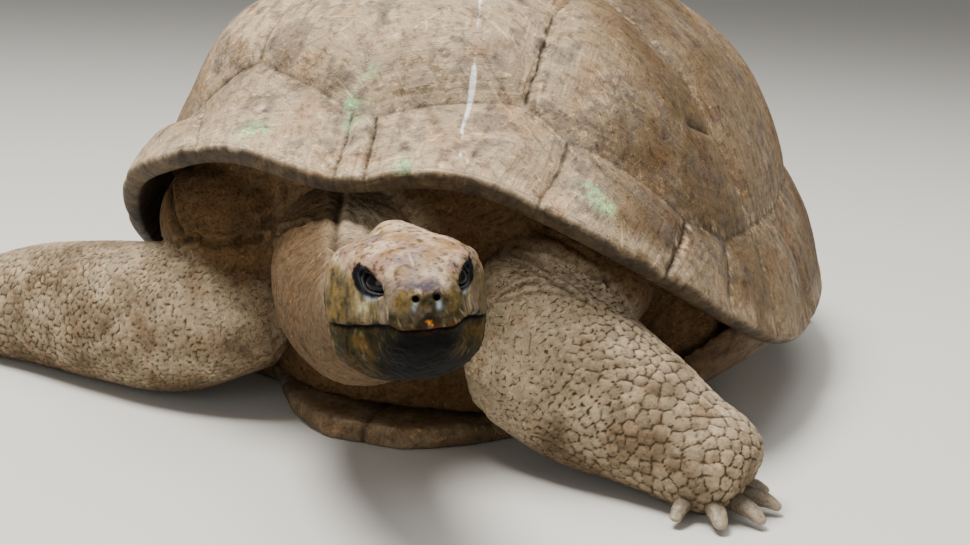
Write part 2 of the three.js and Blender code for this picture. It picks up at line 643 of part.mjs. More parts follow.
const onBothSides = (make) => Object.values(SIDES).map(make);
const eyes = Object.fromEntries(Object.entries(SIDES).map(([name, side]) => [
  name, ball(mirrored(EYE.centre, side), evenRadii(EYE.radius), 14),
]));
const skullRaw = joined([cutBy(headShape(), onBothSides(socket)), ...onBothSides(lid), ...onBothSides(brow)]);
const headRaw = cutBy(skullRaw, [
  ...Object.values(eyes).map((eye) => swollen(eye)),
  ...onBothSides((side) => ball(
    mirrored(NOSTRIL.at, side), vec(NOSTRIL.radius, NOSTRIL.radius * 2, NOSTRIL.radius), 10,
  )),
  ...onBothSides((side) => ball(mirrored(TYMPANUM.at, side), TYMPANUM.radii, 14)),
]);
const head = inHeadFrame(headRaw.subtract(mouthBlock(0)));
const lowerJaw = inHeadFrame(headRaw.intersect(mouthBlock(MOUTH_GAP)));

// ---------- Neck ----------
// [x, y, z, half width, half height]
const NECK = [
  [-30, -250, 225, 105, 88], [-28, -340, 215, 98, 84], [-18, -430, 196, 82, 78], [22, -530, 186, 68, 68],
  [82, -625, 196, 58, 61], [128, -690, 224, 53, 56], [160, -742, 252, 50, 53], [178, -768, 262, 48, 50],
];
const neckRaw = limb(NECK, { steps: 20, sides: 20 });
const neck = largest(cutBy(neckRaw, [torsoWhole, head, lowerJaw, carapace].map((s) => swollen(s))));

// ---------- Legs ----------
const FORELEG = {
  left: {
    upper: [[150, -225, 190, 68, 74], [158, -300, 172, 72, 78], [160, -380, 142, 66, 80]],
    lower: [[106, -392, 134, 34, 52], [124, -394, 134, 52, 78], [165, -404, 132, 61, 92],
      [232, -416, 101, 58, 87], [298, -424, 77, 54, 71], [345, -430, 57, 55, 57], [376, -436, 47, 56, 51],
      [398, -441, 40, 46, 41], [408, -443, 36, 28, 27]],
  },
  right: {
    upper: [[-150, -225, 190, 68, 72], [-160, -300, 170, 72, 76], [-168, -375, 135, 66, 76]],
    lower: [[-114, -378, 124, 34, 46], [-130, -382, 124, 50, 63], [-175, -392, 117, 60, 74],
      [-250, -392, 97, 59, 84], [-350, -372, 86, 58, 81], [-450, -345, 74, 58, 73], [-530, -328, 59, 59, 61],
      [-576, -320, 49, 56, 51], [-600, -316, 42, 44, 40], [-610, -314, 38, 27, 27]],
  },
};
const HINDLEG = [
  [190, 205, 200, 76, 70], [222, 272, 160, 78, 72], [250, 330, 110, 70, 68], [262, 362, 50, 63, 63],
  [264, 368, -20, 62, 62],
];

function forelegSolid(side) {
  const { upper, lower } = FORELEG[side];
  const leg = limb(upper, { steps: 4, sides: 16 }).add(limb(lower, { steps: 14, sides: 16, roundness: 0.88 }));
  return leg.subtract(floorBlock);
}

function hindlegSolid(side) {
  const turn = SIDES[side];
  const stations = HINDLEG.map(([x, y, z, w, h]) => [x * turn, y, z, w, h]);
  return limb(stations, { steps: 9, sides: 16, upward: vec(0, 1, 0) }).subtract(floorBlock);
}

const shellParts = [carapace, plastronWhole, torsoWhole].map((s) => swollen(s));
const neckCutter = swollen(neck);
const forelegs = {};
const hindlegs = {};
for (const side of Object.keys(SIDES)) {
  forelegs[side] = largest(cutBy(forelegSolid(side), [...shellParts, neckCutter]));
  hindlegs[side] = largest(cutBy(hindlegSolid(side), shellParts));
}

// ---------- Tail ----------
const TAIL = [
  [0, 350, 150, 44, 40], [4, 410, 118, 38, 34], [14, 455, 84, 29, 27], [30, 484, 52, 19, 18],
  [44, 496, 26, 9, 9],
];
const tail = largest(cutBy(limb(TAIL, { steps: 9, sides: 12 }).subtract(floorBlock), shellParts));

// ---------- Claws ----------
const CLAW = { length: 33, halfWidth: 10.5, halfHeight: 9, sink: 16 };
// (share of the length, drop, width and height as shares)
const CLAW_SHAPE = [[0, 0, 1, 1], [0.45, 2.5, 0.92, 0.85], [0.8, 7, 0.74, 0.6], [1, 10.5, 0.42, 0.34]];

// A blunt, downcurved nail that grows from the foot at a point, along a level heading.
function clawSolid(at, heading, size) {
  const ahead = vec(cos(heading), sin(heading), 0);
  const stations = [[-CLAW.sink / CLAW.length, -2, 1, 1], ...CLAW_SHAPE].map(([share, drop, w, h]) => {
    const p = at.clone().addScaledVector(ahead, share * CLAW.length * size).setZ(at.z - drop * size);
    return [p.x, p.y, p.z, w * size * CLAW.halfWidth, h * size * CLAW.halfHeight];
  });
  return limb(stations, { steps: 4, sides: 8 }).subtract(floorBlock);
}

const FOREFOOT = { count: 5, spread: 136, radius: 47, height: 18 };
const HINDFOOT = { count: 4, spread: 105, radius: 56, height: 18 };
const FEET = [
  { name: "front_left", leg: forelegs.left, at: vec(362, -433, 0), heading: -28, ...FOREFOOT },
  { name: "front_right", leg: forelegs.right, at: vec(-562, -323, 0), heading: -168, ...FOREFOOT },
  { name: "hind_left", leg: hindlegs.left, at: vec(264, 368, 0), heading: -28, ...HINDFOOT },
  { name: "hind_right", leg: hindlegs.right, at: vec(-264, 368, 0), heading: -152, ...HINDFOOT },
];

const claws = {};
const clawVariation = randomStream(5);
for (const foot of FEET) {
  const clearOfLeg = swollen(foot.leg);
  for (let i = 0; i < foot.count; i++) {
    const fan = (i / (foot.count - 1) - 0.5) * foot.spread;
    const heading = rad(foot.heading + fan);
    const size = 1 - 0.16 * abs(fan / foot.spread) * 2 + 0.05 * clawVariation();
    const root = foot.at.clone().addScaledVector(vec(cos(heading), sin(heading), 0), foot.radius);
    root.setZ(foot.height);
    claws[`claw_${foot.name}_${i + 1}`] = largest(clawSolid(root, heading, size).subtract(clearOfLeg));
  }
}

// ---------- The animal ----------
const SHELL_BROWN = { color: 0x756556, roughness: 0.72, metalness: 0 };
const SKIN_BROWN = { color: 0x6d6252, roughness: 0.85, metalness: 0 };
const HEAD_SAND = { color: 0x8a7658, roughness: 0.7, metalness: 0 };
const EYE_BLACK = { color: 0x0a0908, roughness: 0.08, metalness: 0 };
const CLAW_HORN = { color: 0x4d4234, roughness: 0.5, metalness: 0 };

const tortoise = new THREE.Group();
function addNode(name, solid, finish) {
  const { points, faces } = readSolid(largest(solid));
  const node = new THREE.Mesh(geometryOf(points, faces), new THREE.MeshStandardMaterial(finish));
  node.name = name;
  tortoise.add(node);
}

addNode("carapace", carapace, SHELL_BROWN);
addNode("plastron", plastron, SHELL_BROWN);
addNode("torso", torso, SKIN_BROWN);
addNode("neck", neck, SKIN_BROWN);
addNode("head", head, HEAD_SAND);
addNode("lower_jaw", lowerJaw, HEAD_SAND);
for (const side of Object.keys(SIDES)) {
  addNode(`eye_${side}`, inHeadFrame(eyes[side]), EYE_BLACK);
  addNode(`foreleg_${side}`, forelegs[side], SKIN_BROWN);
  addNode(`hindleg_${side}`, hindlegs[side], SKIN_BROWN);
}
addNode("tail", tail, SKIN_BROWN);
for (const [name, solid] of Object.entries(claws)) addNode(name, solid, CLAW_HORN);

export default tortoise;
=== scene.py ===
"""The looks of a life-size giant tortoise of the Aldabra kind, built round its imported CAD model.

The frame is the CAD's: +Z up, the animal faces -Y, its left side is +X, and the floor is z = 0.
Shapes are worked out in millimetres, as the CAD source has them, and become metres in make_mesh().
"""
import itertools
import math

import bpy
import bmesh
import numpy as np
from mathutils import Matrix
from mathutils.kdtree import KDTree


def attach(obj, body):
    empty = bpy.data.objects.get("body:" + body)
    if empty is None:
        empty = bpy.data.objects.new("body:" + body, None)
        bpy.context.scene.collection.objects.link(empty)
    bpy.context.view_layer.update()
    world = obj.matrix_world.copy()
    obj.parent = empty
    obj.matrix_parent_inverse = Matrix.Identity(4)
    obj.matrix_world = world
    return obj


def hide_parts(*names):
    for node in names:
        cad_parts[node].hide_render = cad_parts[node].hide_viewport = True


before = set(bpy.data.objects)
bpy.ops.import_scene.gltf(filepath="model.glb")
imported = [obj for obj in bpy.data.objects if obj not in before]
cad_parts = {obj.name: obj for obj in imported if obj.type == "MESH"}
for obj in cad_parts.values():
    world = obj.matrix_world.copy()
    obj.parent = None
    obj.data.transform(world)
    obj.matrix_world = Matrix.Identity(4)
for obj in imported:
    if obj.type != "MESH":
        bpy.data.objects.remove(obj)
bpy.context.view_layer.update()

MM = 0.001


# ---------- Small helpers ----------
def smooth(low, high, value):
    t = np.clip((value - low) / (high - low), 0, 1)
    return t * t * (3 - 2 * t)


def bell(distance, width):
    """1 at no distance, falling to about a third at one width."""
    return np.exp(-((distance / width) ** 2))


def mix(a, b, share):
    return a + (b - a) * share


def blend_colours(a, b, share):
    return a + (np.asarray(b) - a) * share[:, None]


def signed_power(value, exponent):
    return np.sign(value) * np.abs(value) ** exponent


def unit(vectors):
    return vectors / np.maximum(np.linalg.norm(vectors, axis=-1, keepdims=True), 1e-9)


def noise(points, size, seed=0):
    """Smooth random values from -1 to 1, with features about size millimetres across."""
    scaled = points / size + seed * 17.31
    base = np.floor(scaled).astype(np.int64)
    part = scaled - base
    part = part * part * (3 - 2 * part)
    total = np.zeros(len(points))
    for corner in itertools.product((0, 1), repeat=3):
        spot = base + corner
        mixed = (spot[:, 0] * 73856093) ^ (spot[:, 1] * 19349663) ^ (spot[:, 2] * 83492791)
        mixed = ((mixed ^ (mixed >> 13)) * 1274126177) & 0xFFFFFFFF
        value = ((mixed ^ (mixed >> 16)) & 0xFFFF) / 32767.5 - 1
        weight = np.prod(np.where(corner, part, 1 - part), axis=1)
        total += weight * value
    return total


def rough_noise(points, size, seed=0, octaves=4):
    """Several sizes of noise, each half as large and half as strong as the one before."""
    layers = [noise(points, size / 2**k, seed + k) / 2**k for k in range(octaves)]
    return sum(layers) / 1.4


def random_stream(seed):
    """The CAD source's repeatable numbers from -1 to 1."""
    state = seed
    while True:
        state = (state * 1664525 + 1013904223) % 4294967296
        yield state / 4294967296 * 2 - 1


def hermite(t, start, start_slope, end, end_slope):
    """A smooth curve's place at t from 0 to 1, by its ends and its slopes there."""
    return ((2 * t**3 - 3 * t**2 + 1) * start + (t**3 - 2 * t**2 + t) * start_slope
            + (3 * t**2 - 2 * t**3) * end + (t**3 - t**2) * end_slope)


def profile(stations):
    """Values that pass smoothly through stations [place, value, value, ...]."""
    table = np.array(stations, float)
    places = table[:, 0]
    last = len(table) - 1

    def at(place, column=1):
        place = np.asarray(place, float)
        i = np.clip(np.searchsorted(places, place, side="left") - 1, 0, last - 1)
        before, after = np.maximum(i - 1, 0), np.minimum(i + 2, last)
        values = table[:, column]
        span = places[i + 1] - places[i]
        t = np.clip((place - places[i]) / span, 0, 1)
        slope1 = (values[i + 1] - values[before]) / (places[i + 1] - places[before]) * span
        slope2 = (values[after] - values[i]) / (places[after] - places[i]) * span
        return hermite(t, values[i], slope1, values[i + 1], slope2)

    return at


def curve_through(points, shares):
    """A centripetal Catmull-Rom curve through points, at shares of its length by point count."""
    points = np.asarray(points, float)
    padded = np.vstack([2 * points[0] - points[1], points, 2 * points[-1] - points[-2]])
    place = np.asarray(shares) * (len(points) - 1)
    i = np.minimum(place.astype(int), len(points) - 2)
    t = (place - i)[:, None]
    p0, p1, p2, p3 = (padded[i + k] for k in range(4))
    d0, d1, d2 = (np.sqrt(np.linalg.norm(b - a, axis=1))[:, None] for a, b in ((p0, p1), (p1, p2), (p2, p3)))
    m1 = ((p1 - p0) / d0 - (p2 - p0) / (d0 + d1) + (p2 - p1) / d1) * d1
    m2 = ((p2 - p1) / d1 - (p3 - p1) / (d1 + d2) + (p3 - p2) / d2) * d1
    return hermite(t, p1, m1, p2, m2)


def find_nearest(targets, queries, count=1):
    """For each query point, the distances to the nearest targets and their indices."""
    tree = KDTree(len(targets))
    for i, point in enumerate(targets):
        tree.insert(point, i)
    tree.balance()
    found = [tree.find_n(point, count) for point in queries]
    distances = np.array([[hit[2] for hit in hits] for hits in found])
    indices = np.array([[hit[1] for hit in hits] for hits in found])
    return (distances[:, 0], indices[:, 0]) if count == 1 else (distances, indices)


def nearest_sample(samples, points):
    """The index of the nearest of a few samples for each of many points."""
    return np.argmin((samples**2).sum(axis=1) - 2 * points @ samples.T, axis=1)


# ---------- Meshes ----------
def make_mesh(name, points, faces):
    """A mesh object from points in millimetres. faces is one array of quads or triangles, or a list."""
    mesh = bpy.data.meshes.new(name)
    blocks = faces if isinstance(faces, list) else [faces]
    corners = np.concatenate([block.ravel() for block in blocks])
    sizes = np.concatenate([np.full(len(block), block.shape[1]) for block in blocks])
    mesh.vertices.add(len(points))
    mesh.vertices.foreach_set("co", (points * MM).astype(np.float32).ravel())
    mesh.loops.add(len(corners))
    mesh.loops.foreach_set("vertex_index", corners.astype(np.int32))
    mesh.polygons.add(len(sizes))
    mesh.polygons.foreach_set("loop_start", np.concatenate([[0], np.cumsum(sizes)[:-1]]).astype(np.int32))
    mesh.update(calc_edges=True)
    mesh.validate()
    mesh.shade_smooth()
    piece = bpy.data.objects.new(name, mesh)
    bpy.context.scene.collection.objects.link(piece)
    return piece


def read_points(mesh):
    points = np.zeros(len(mesh.vertices) * 3, np.float32)
    mesh.vertices.foreach_get("co", points)
    return points.reshape(-1, 3).astype(float) / MM


def read_normals(mesh):
    normals = np.zeros(len(mesh.vertices) * 3, np.float32)
    mesh.vertex_normals.foreach_get("vector", normals)
    return normals.reshape(-1, 3).astype(float)


def write_points(mesh, points):
    mesh.vertices.foreach_set("co", (points * MM).astype(np.float32).ravel())
    mesh.update()


def store_number(mesh, name, values):
    layer = mesh.attributes.new(name, "FLOAT", "POINT")
    layer.data.foreach_set("value", np.asarray(values, np.float32))


def store_vector(mesh, name, values):
    layer = mesh.attributes.new(name, "FLOAT_VECTOR", "POINT")
    layer.data.foreach_set("vector", np.asarray(values, np.float32).ravel())


def store_paint(mesh, colours):
    """The base colour of each vertex, linear."""
    layer = mesh.attributes.new("paint", "FLOAT_COLOR", "POINT")
    full = np.ones((len(colours), 4), np.float32)
    full[:, :3] = np.clip(colours, 0.004, 1)
    layer.data.foreach_set("color", full.ravel())


def store_bake_map(mesh, corner_uv):
    """The UV map that a material bake uses, one place for each face corner."""
    layer = mesh.uv_layers.new(name="OFBake")
    layer.data.foreach_set("uv", np.asarray(corner_uv, np.float32).ravel())


def corner_vertices(mesh):
    index = np.zeros(len(mesh.loops), np.int32)
    mesh.loops.foreach_get("vertex_index", index)
    return index


def smoothed(points, edges, rounds, weight):
    """Each vertex moves towards the mean of its neighbours, by its weight from 0 to 1."""
    a, b = edges.T
    total_count = len(points)
    neighbours = np.bincount(edges.ravel(), minlength=total_count)[:, None]
    for _ in range(rounds):
        sums = np.stack([np.bincount(a, points[b, k], total_count) + np.bincount(b, points[a, k], total_count)
                         for k in range(points.shape[1])], axis=1)
        points = points + weight[:, None] * (sums / neighbours - points)
    return points


def loft(rings):
    """Points, quads and end triangles of a closed skin over rings, an array (ring, place, xyz)."""
    count, sides = rings.shape[:2]
    points = np.vstack([rings.reshape(-1, 3), rings[0].mean(0), rings[-1].mean(0)])
    ring, place = np.meshgrid(np.arange(count - 1), np.arange(sides), indexing="ij")
    following = (place + 1) % sides
    quads = np.stack([ring * sides + place, ring * sides + following,
                      (ring + 1) * sides + following, (ring + 1) * sides + place], axis=-1).reshape(-1, 4)
    here = np.arange(sides)
    there = (here + 1) % sides
    first, last = count * sides, (count - 1) * sides
    start = np.stack([np.full(sides, first), there, here], axis=1)
    end = np.stack([np.full(sides, first + 1), last + here, last + there], axis=1)
    return points, quads, np.vstack([start, end])


def turned_out(points, quads, triangles):
    """The same closed surface with its faces pointing out."""
    every = np.vstack([quads[:, [0, 1, 2]], quads[:, [0, 2, 3]], triangles])
    a, b, c = (points[every[:, k]] for k in range(3))
    if np.einsum("ij,ij->i", a, np.cross(b, c)).sum() < 0:
        return points, quads[:, ::-1], triangles[:, ::-1]
    return points, quads, triangles


# ---------- Carapace surface, as the CAD source has it ----------
CROWN = np.array([0.0, -80.0, 516.0])
SHELL_CENTRE_Y = -90
CROWN_SHIFT_Y = 10
# (share of the way to the rim, half width, front, rear, height at the front, side and rear)
# From a least-squares fit to the photo, together with the camera; then rounded and partly changed
RINGS = [
    (0.3, 118, 180, 207, 503, 490, 495),
    (0.58, 267, 312, 402, 430, 380, 404),
    (0.82, 363, 368, 546, 356, 200, 258),
    (1.0, 400, 436, 615, 322, 103, 150),
]
FRONT_SQUARENESS, REAR_SQUARENESS, HEIGHT_POWER = 0.86, 0.82, 1.6
NECK_DROOP, NECK_DROOP_WIDTH, RIM_LIFT = 18, 72, 7
# The right side bulges over its first costal scute, dips at the seam below it and flares out at the rim.
RIGHT_BULGE_AT, RIGHT_BULGE_SPREAD = -50, 22
RIGHT_LIFT = profile([(0.2, 0), (0.35, 7), (0.5, 15), (0.58, 20), (0.64, 18), (0.7, 8), (0.78, 4), (0.83, 14),
                      (0.88, 27), (1, 31)])
WALL_CROWN, WALL_RIM, LIP = 10, 15, 21
PLATE_RISE = 1.5
PILLOW = {"vertebral": 12, "costal": 13, "marginal": 5}


def ring_points(ring, angle):
    s, half_width, front, rear, z_front, z_side, z_rear = ring
    ahead = np.cos(angle) > 0
    forward = np.abs(np.cos(angle))
    squareness = np.where(ahead, FRONT_SQUARENESS, REAR_SQUARENESS)
    reach = np.where(ahead, -front, rear)
    x = half_width * signed_power(np.sin(angle), squareness)
    y = SHELL_CENTRE_Y + CROWN_SHIFT_Y * (1 - s) + reach * forward**squareness
    z = mix(z_side, np.where(ahead, z_front, z_rear), forward**HEIGHT_POWER)
    return np.stack([x, y, z], axis=-1)


def shell_point(angle, s):
    """The carapace at angles from straight ahead (left is positive) and at shares from crown to rim."""
    through = [np.broadcast_to(CROWN, angle.shape + (3,))] + [ring_points(ring, angle) for ring in RINGS]
    before = 2 * through[0] - through[1]
    before[..., 2] = through[1][..., 2]
    beyond = 2 * through[-1] - through[-2]
    knots = np.stack([before, *through, beyond])
    places = np.array([-RINGS[0][0], 0, *[ring[0] for ring in RINGS], 2 - RINGS[-2][0]])
    i = 1 + (s[:, None] > places[2:5]).sum(axis=1)
    row = np.arange(len(angle))
    p0, p1, p2, p3 = (knots[i + k, row] for k in (-1, 0, 1, 2))
    s0, s1, s2, s3 = (places[i + k][:, None] for k in (-1, 0, 1, 2))
    t = (s[:, None] - s1) / (s2 - s1)
    m1 = (p2 - p0) * (s2 - s1) / (s2 - s0)
    m2 = (p3 - p1) * (s2 - s1) / (s3 - s1)
    point = hermite(t, p1, m1, p2, m2)
    x = point[:, 0]
    near_rim = smooth(0.76, 1, s)
    lift = -NECK_DROOP * near_rim * bell(x, NECK_DROOP_WIDTH)
    lift += RIM_LIFT * near_rim * bell(np.abs(x) - 150, 70)
    lift += RIGHT_LIFT(s) * bell(np.degrees(angle) - RIGHT_BULGE_AT, RIGHT_BULGE_SPREAD)
    point[:, 2] += np.where(np.cos(angle) > 0, lift, 0)
    return point


def shell_normal(angle, s):
    step = 0.01
    place = np.maximum(s, 2 * step)
    around = shell_point(angle + step, place) - shell_point(angle - step, place)
    outward = shell_point(angle, np.minimum(place + step, 1)) - shell_point(angle, place - step)
    return unit(np.cross(outward, around))


def on_disc(degrees, s):
    """The flat disc on which seams are straight: its centre is the crown and its edge the rim."""
    angle = np.radians(degrees)
    return np.array([s * np.sin(angle), s * np.cos(angle)])


def disc_to_shell(disc):
    s = np.linalg.norm(disc, axis=-1)
    return np.arctan2(disc[..., 0], disc[..., 1]), np.minimum(s, 1)


def marks_on_shell(spots):
    """Points of the shell's surface for [degrees, share] spots."""
    spots = np.array(spots, float)
    return shell_point(np.radians(spots[:, 0]), spots[:, 1])


# ---------- Scutes ----------
# The seams between the rim's scutes: their angles at the rim, then the angle and share where each one ends.
# The front ones, and the front inner junctions, were worked out from spots cast in the same way.
MARGINAL_SEAMS = [1.5, 27, 48, 62, 77, 93, 108, 121, 134, 146, 157, 169]
MARGINAL_TOPS = [
    (1.2, 0.82), (30.4, 0.77), (53, 0.845), (63, 0.84), (77, 0.79), (93, 0.775), (109, 0.775), (122, 0.78),
    (135, 0.79), (147, 0.8), (158, 0.82), (169, 0.84),
]
INNER_JUNCTIONS = {
    "v1c1m": (25.3, 0.724), "v1v2c1": (38, 0.48), "c1c2v2": (70, 0.36), "v2v3c2": (86, 0.25),
    "c2c3v3": (104, 0.36), "v3v4c3": (133, 0.37), "c3c4v4": (139, 0.52), "v4v5c4": (153, 0.56),
    "v5c4m": (164, 0.82),
}
# The right side's junctions that lie elsewhere
RIGHT_SPOTS = {"rim1": (20.2, 1), "top1": (39.4, 0.749), "v1c1m": (25, 0.682)}
SIDES = {"left": 1, "right": -1}
SEAM_WANDER_DEGREES, SEAM_WANDER_S, NUCHAL_SHIFT = 0.9, 0.007, 1.7


def junctions():
    """Where the seams meet: each junction's place on the disc, by its name."""
    wander = random_stream(11)
    placed = {}
    for side, turn in SIDES.items():
        named = []
        for i, degrees in enumerate(MARGINAL_SEAMS):
            named += [(f"rim{i}", degrees, 1), (f"top{i}", *MARGINAL_TOPS[i])]
        named += [(name, *spot) for name, spot in INNER_JUNCTIONS.items()]
        for name, degrees, s in named:
            if side == "right":
                degrees, s = RIGHT_SPOTS.get(name, (degrees, s))
            beside_nuchal = degrees < 5
            moved = turn * (degrees + next(wander) * (0 if beside_nuchal else SEAM_WANDER_DEGREES))
            if s == 1:
                placed[f"{side}_{name}"] = on_disc(moved + (NUCHAL_SHIFT if beside_nuchal else 0), 1)
            else:
                placed[f"{side}_{name}"] = on_disc(moved, s + next(wander) * SEAM_WANDER_S)
    return placed


def scute_loops():
    """Each scute's kind and the names of the junctions round it."""
    def both(*names):
        return [f"left_{n}" for n in names] + [f"right_{n}" for n in reversed(names)]

    loops = [
        ("marginal", both("rim0", "top0")), ("marginal", both("rim11", "top11")),
        ("vertebral", both("top0", "v1c1m", "v1v2c1")), ("vertebral", both("v1v2c1", "c1c2v2", "v2v3c2")),
        ("vertebral", both("v2v3c2", "c2c3v3", "v3v4c3")), ("vertebral", both("v3v4c3", "c3c4v4", "v4v5c4")),
        ("vertebral", both("v4v5c4", "v5c4m", "top11")),
    ]
    one_side = [
        ("costal", ["v1v2c1", "v1c1m", "top1", "top2", "top3", "top4", "c1c2v2"]),
        ("costal", ["c1c2v2", "top4", "top5", "top6", "c2c3v3", "v2v3c2"]),
        ("costal", ["c2c3v3", "top6", "top7", "top8", "c3c4v4", "v3v4c3"]),
        ("costal", ["c3c4v4", "top8", "top9", "top10", "v5c4m", "v4v5c4"]),
        ("marginal", ["top0", "rim0", "rim1", "top1", "v1c1m"]),
        ("marginal", ["top10", "rim10", "rim11", "top11", "v5c4m"]),
    ]
    one_side += [("marginal", [f"top{i}", f"rim{i}", f"rim{i + 1}", f"top{i + 1}"]) for i in range(1, 10)]
    for side in SIDES:
        loops += [(kind, [f"{side}_{n}" for n in names]) for kind, names in one_side]
    return loops


def seam_steps(start, end, count):
    """Points on the disc from one junction to another, along the rim where both are on it."""
    shares = np.linspace(0, 1, count)[:, None]
    line = mix(start, end, shares)
    on_rim = min(np.linalg.norm(start), np.linalg.norm(end)) > 0.9999
    return (unit(line) if on_rim else line), on_rim


# How open (0 to 1) and how crumbled (0 to 1) the seams that stand out are; the rest are worn faint.
SEAM_LOOKS = {
    ("left_v1c1m", "left_v1v2c1"): (0.85, 1.0),
    ("left_top1", "left_v1c1m"): (0.35, 0.5),
    ("left_rim1", "left_top1"): (0.75, 0.35),
    ("left_rim2", "left_top2"): (0.8, 0.9),
    ("left_top4", "left_top5"): (0.3, 1.0),
    ("left_top5", "left_top6"): (0.3, 0.9),
    ("left_c1c2v2", "left_top4"): (0.2, 0.5),
    ("left_top1", "left_top2"): (0.15, 0.2),
    ("left_rim0", "left_top0"): (0.75, 1.0),
    ("right_rim0", "right_top0"): (0.7, 1.0),
    ("left_top0", "left_v1c1m"): (0.2, 0.3),
    ("right_top0", "right_v1c1m"): (0.5, 0.3),
    ("right_v1c1m", "right_v1v2c1"): (0.6, 0.3),
    ("right_top1", "right_v1c1m"): (0.7, 0.4),
    ("right_rim1", "right_top1"): (0.4, 0.9),
}
SEAM_SAMPLE = 1.2  # mm between the points that stand for a seam


class Scutes:
    """What each vertex of the carapace needs to know about the scutes and seams near it."""

    def __init__(self, disc, surface):
        rng = np.random.default_rng(3)
        placed = junctions()
        seam_points, seam_looks, done = [], [], set()
        total = len(disc)
        self.share = np.zeros(total)
        self.pillow = np.zeros(total)
        self.tone = np.zeros(total)
        self.spin = np.zeros(total)
        inside_any = np.zeros(total, bool)
        for kind, names in scute_loops():
            border = []
            for name, following in zip(names, names[1:] + names[:1]):
                start, end = placed[name], placed[following]
                steps, on_rim = seam_steps(start, end, 9)
                border.append(steps[:-1])
                key = tuple(sorted((name, following)))
                if on_rim or key in done:
                    continue
                done.add(key)
                look = SEAM_LOOKS.get(key) or (rng.uniform(0.2, 0.5), rng.uniform(0.1, 0.6))
                ends = shell_point(*disc_to_shell(np.stack([start, end])))
                count = max(3, int(np.linalg.norm(ends[1] - ends[0]) / SEAM_SAMPLE))
                line, _ = seam_steps(start, end, count)
                seam_points.append(shell_point(*disc_to_shell(line)))
                seam_looks.append(np.tile(look, (count, 1)))
            border = np.vstack(border)
            middle = border.mean(axis=0)
            inside = self.inside(disc, middle + (border - middle) * 1.0001, border) & ~inside_any
            inside_any |= inside
            self.share[inside] = self.to_border(disc[inside], middle, border)
            self.pillow[inside] = PILLOW[kind]
            self.tone[inside] = rng.uniform(-1, 1)
            offset = disc[inside] - middle
            self.spin[inside] = np.arctan2(offset[:, 0], offset[:, 1])
        # The outlines cut corners along the rim; what lies just beyond them is border.
        self.share[~inside_any] = 1
        looks = np.vstack(seam_looks)
        wobbled = surface + np.stack([rough_noise(surface, 16, seed, 3) for seed in (1, 2, 3)], axis=1) * 2.6
        self.from_seam, nearest = find_nearest(np.vstack(seam_points), wobbled)
        self.open, self.crumble = looks[nearest].T

    @staticmethod
    def inside(points, corners, border):
        """Which points a closed outline holds."""
        low, high = border.min(axis=0) - 0.001, border.max(axis=0) + 0.001
        near = np.flatnonzero(((points >= low) & (points <= high)).all(axis=1))
        x, y = points[near].T
        held = np.zeros(len(near), bool)
        for (x1, y1), (x2, y2) in zip(corners, np.roll(corners, -1, axis=0)):
            crosses = (y1 > y) != (y2 > y)
            held ^= crosses & (x < (x2 - x1) * (y - y1) / (y2 - y1 + 1e-12) + x1)
        result = np.zeros(len(points), bool)
        result[near[held]] = True
        return result

    @staticmethod
    def to_border(points, middle, border):
        """How far each point is from the scute's middle (0) to its border (1), rounded at the corners."""
        total = np.zeros(len(points))
        for a, b in zip(border, np.roll(border, -1, axis=0)):
            across = np.array([b[1] - a[1], a[0] - b[0]])
            reach = across @ (a - middle)
            length = np.linalg.norm(across)
            if abs(reach) < 1e-9:
                continue
            total += length * np.maximum((points - middle) @ across / reach, 0) ** 9
        weight = sum(np.linalg.norm(b - a) for a, b in zip(border, np.roll(border, -1, axis=0)))
        return np.clip((total / weight * 4) ** (1 / 9), 0, 1)


# ---------- Carapace ----------
SHELL_GRID = 450  # vertices along each side of the carapace's square grid
LIP_TURNS = [0.03, 0.08, 0.15, 0.24, 0.34, 0.45, 0.56, 0.67, 0.78, 0.88, 0.96, 1.0]
LIP_SWELL = 5.5
UNDERSIDE = [0.985, 0.965, 0.94, 0.91, 0.88, 0.84, 0.8, 0.74, 0.64, 0.5, 0.35, 0.2]

# Marks on the shell: angle in degrees, share of the way to the rim, and a radius for smudges and patches
# Partly from a scratch program that cast spots picked in the photo on to the surface, partly set by hand
WHITE_STREAK = [(17.8, 0.454), (16.8, 0.546), (15.8, 0.633), (14.8, 0.725), (14.0, 0.771), (13.5, 0.85),
                (14.6, 0.95)]
GREEN_SMUDGES = [((-11.5, 0.94), 14), ((-1.8, 0.8), 10), ((-0.5, 0.85), 8), ((33.5, 0.904), 13),
                 ((36, 0.925), 9), ((-0.5, 0.708), 9), ((8, 0.985), 8)]
DARK_PATCHES = [((46.5, 0.862), 30), ((53, 0.871), 26), ((78, 0.45), 30), ((84, 0.63), 22), ((-30, 0.72), 30),
                ((20, 0.62), 26), ((62, 0.74), 26)]
COSTAL_DENT = [(62.5, 0.667), (66, 0.668), (71.5, 0.667)]

TAUPE = np.array([0.225, 0.158, 0.090])
PALE_HORN = np.array([0.47, 0.365, 0.24])
BROWN_HORN = np.array([0.125, 0.080, 0.036])
PLUM = np.array([0.085, 0.065, 0.058])
DIRT_AND_SHADE = np.array([0.045, 0.029, 0.016])
ALGAE = np.array([0.36, 0.60, 0.30])


def concentric(grid):
    """A square grid pressed into a round disc with even cells."""
    x, y = grid.T
    wide = np.abs(x) > np.abs(y)
    reach, beside = np.where(wide, x, y), np.where(wide, y, x)
    share = beside / np.where(np.abs(reach) < 1e-9, 1, reach)
    turn = np.where(wide, math.pi / 4 * share, math.pi / 2 - math.pi / 4 * share)
    return np.stack([reach * np.cos(turn), reach * np.sin(turn)], axis=1)


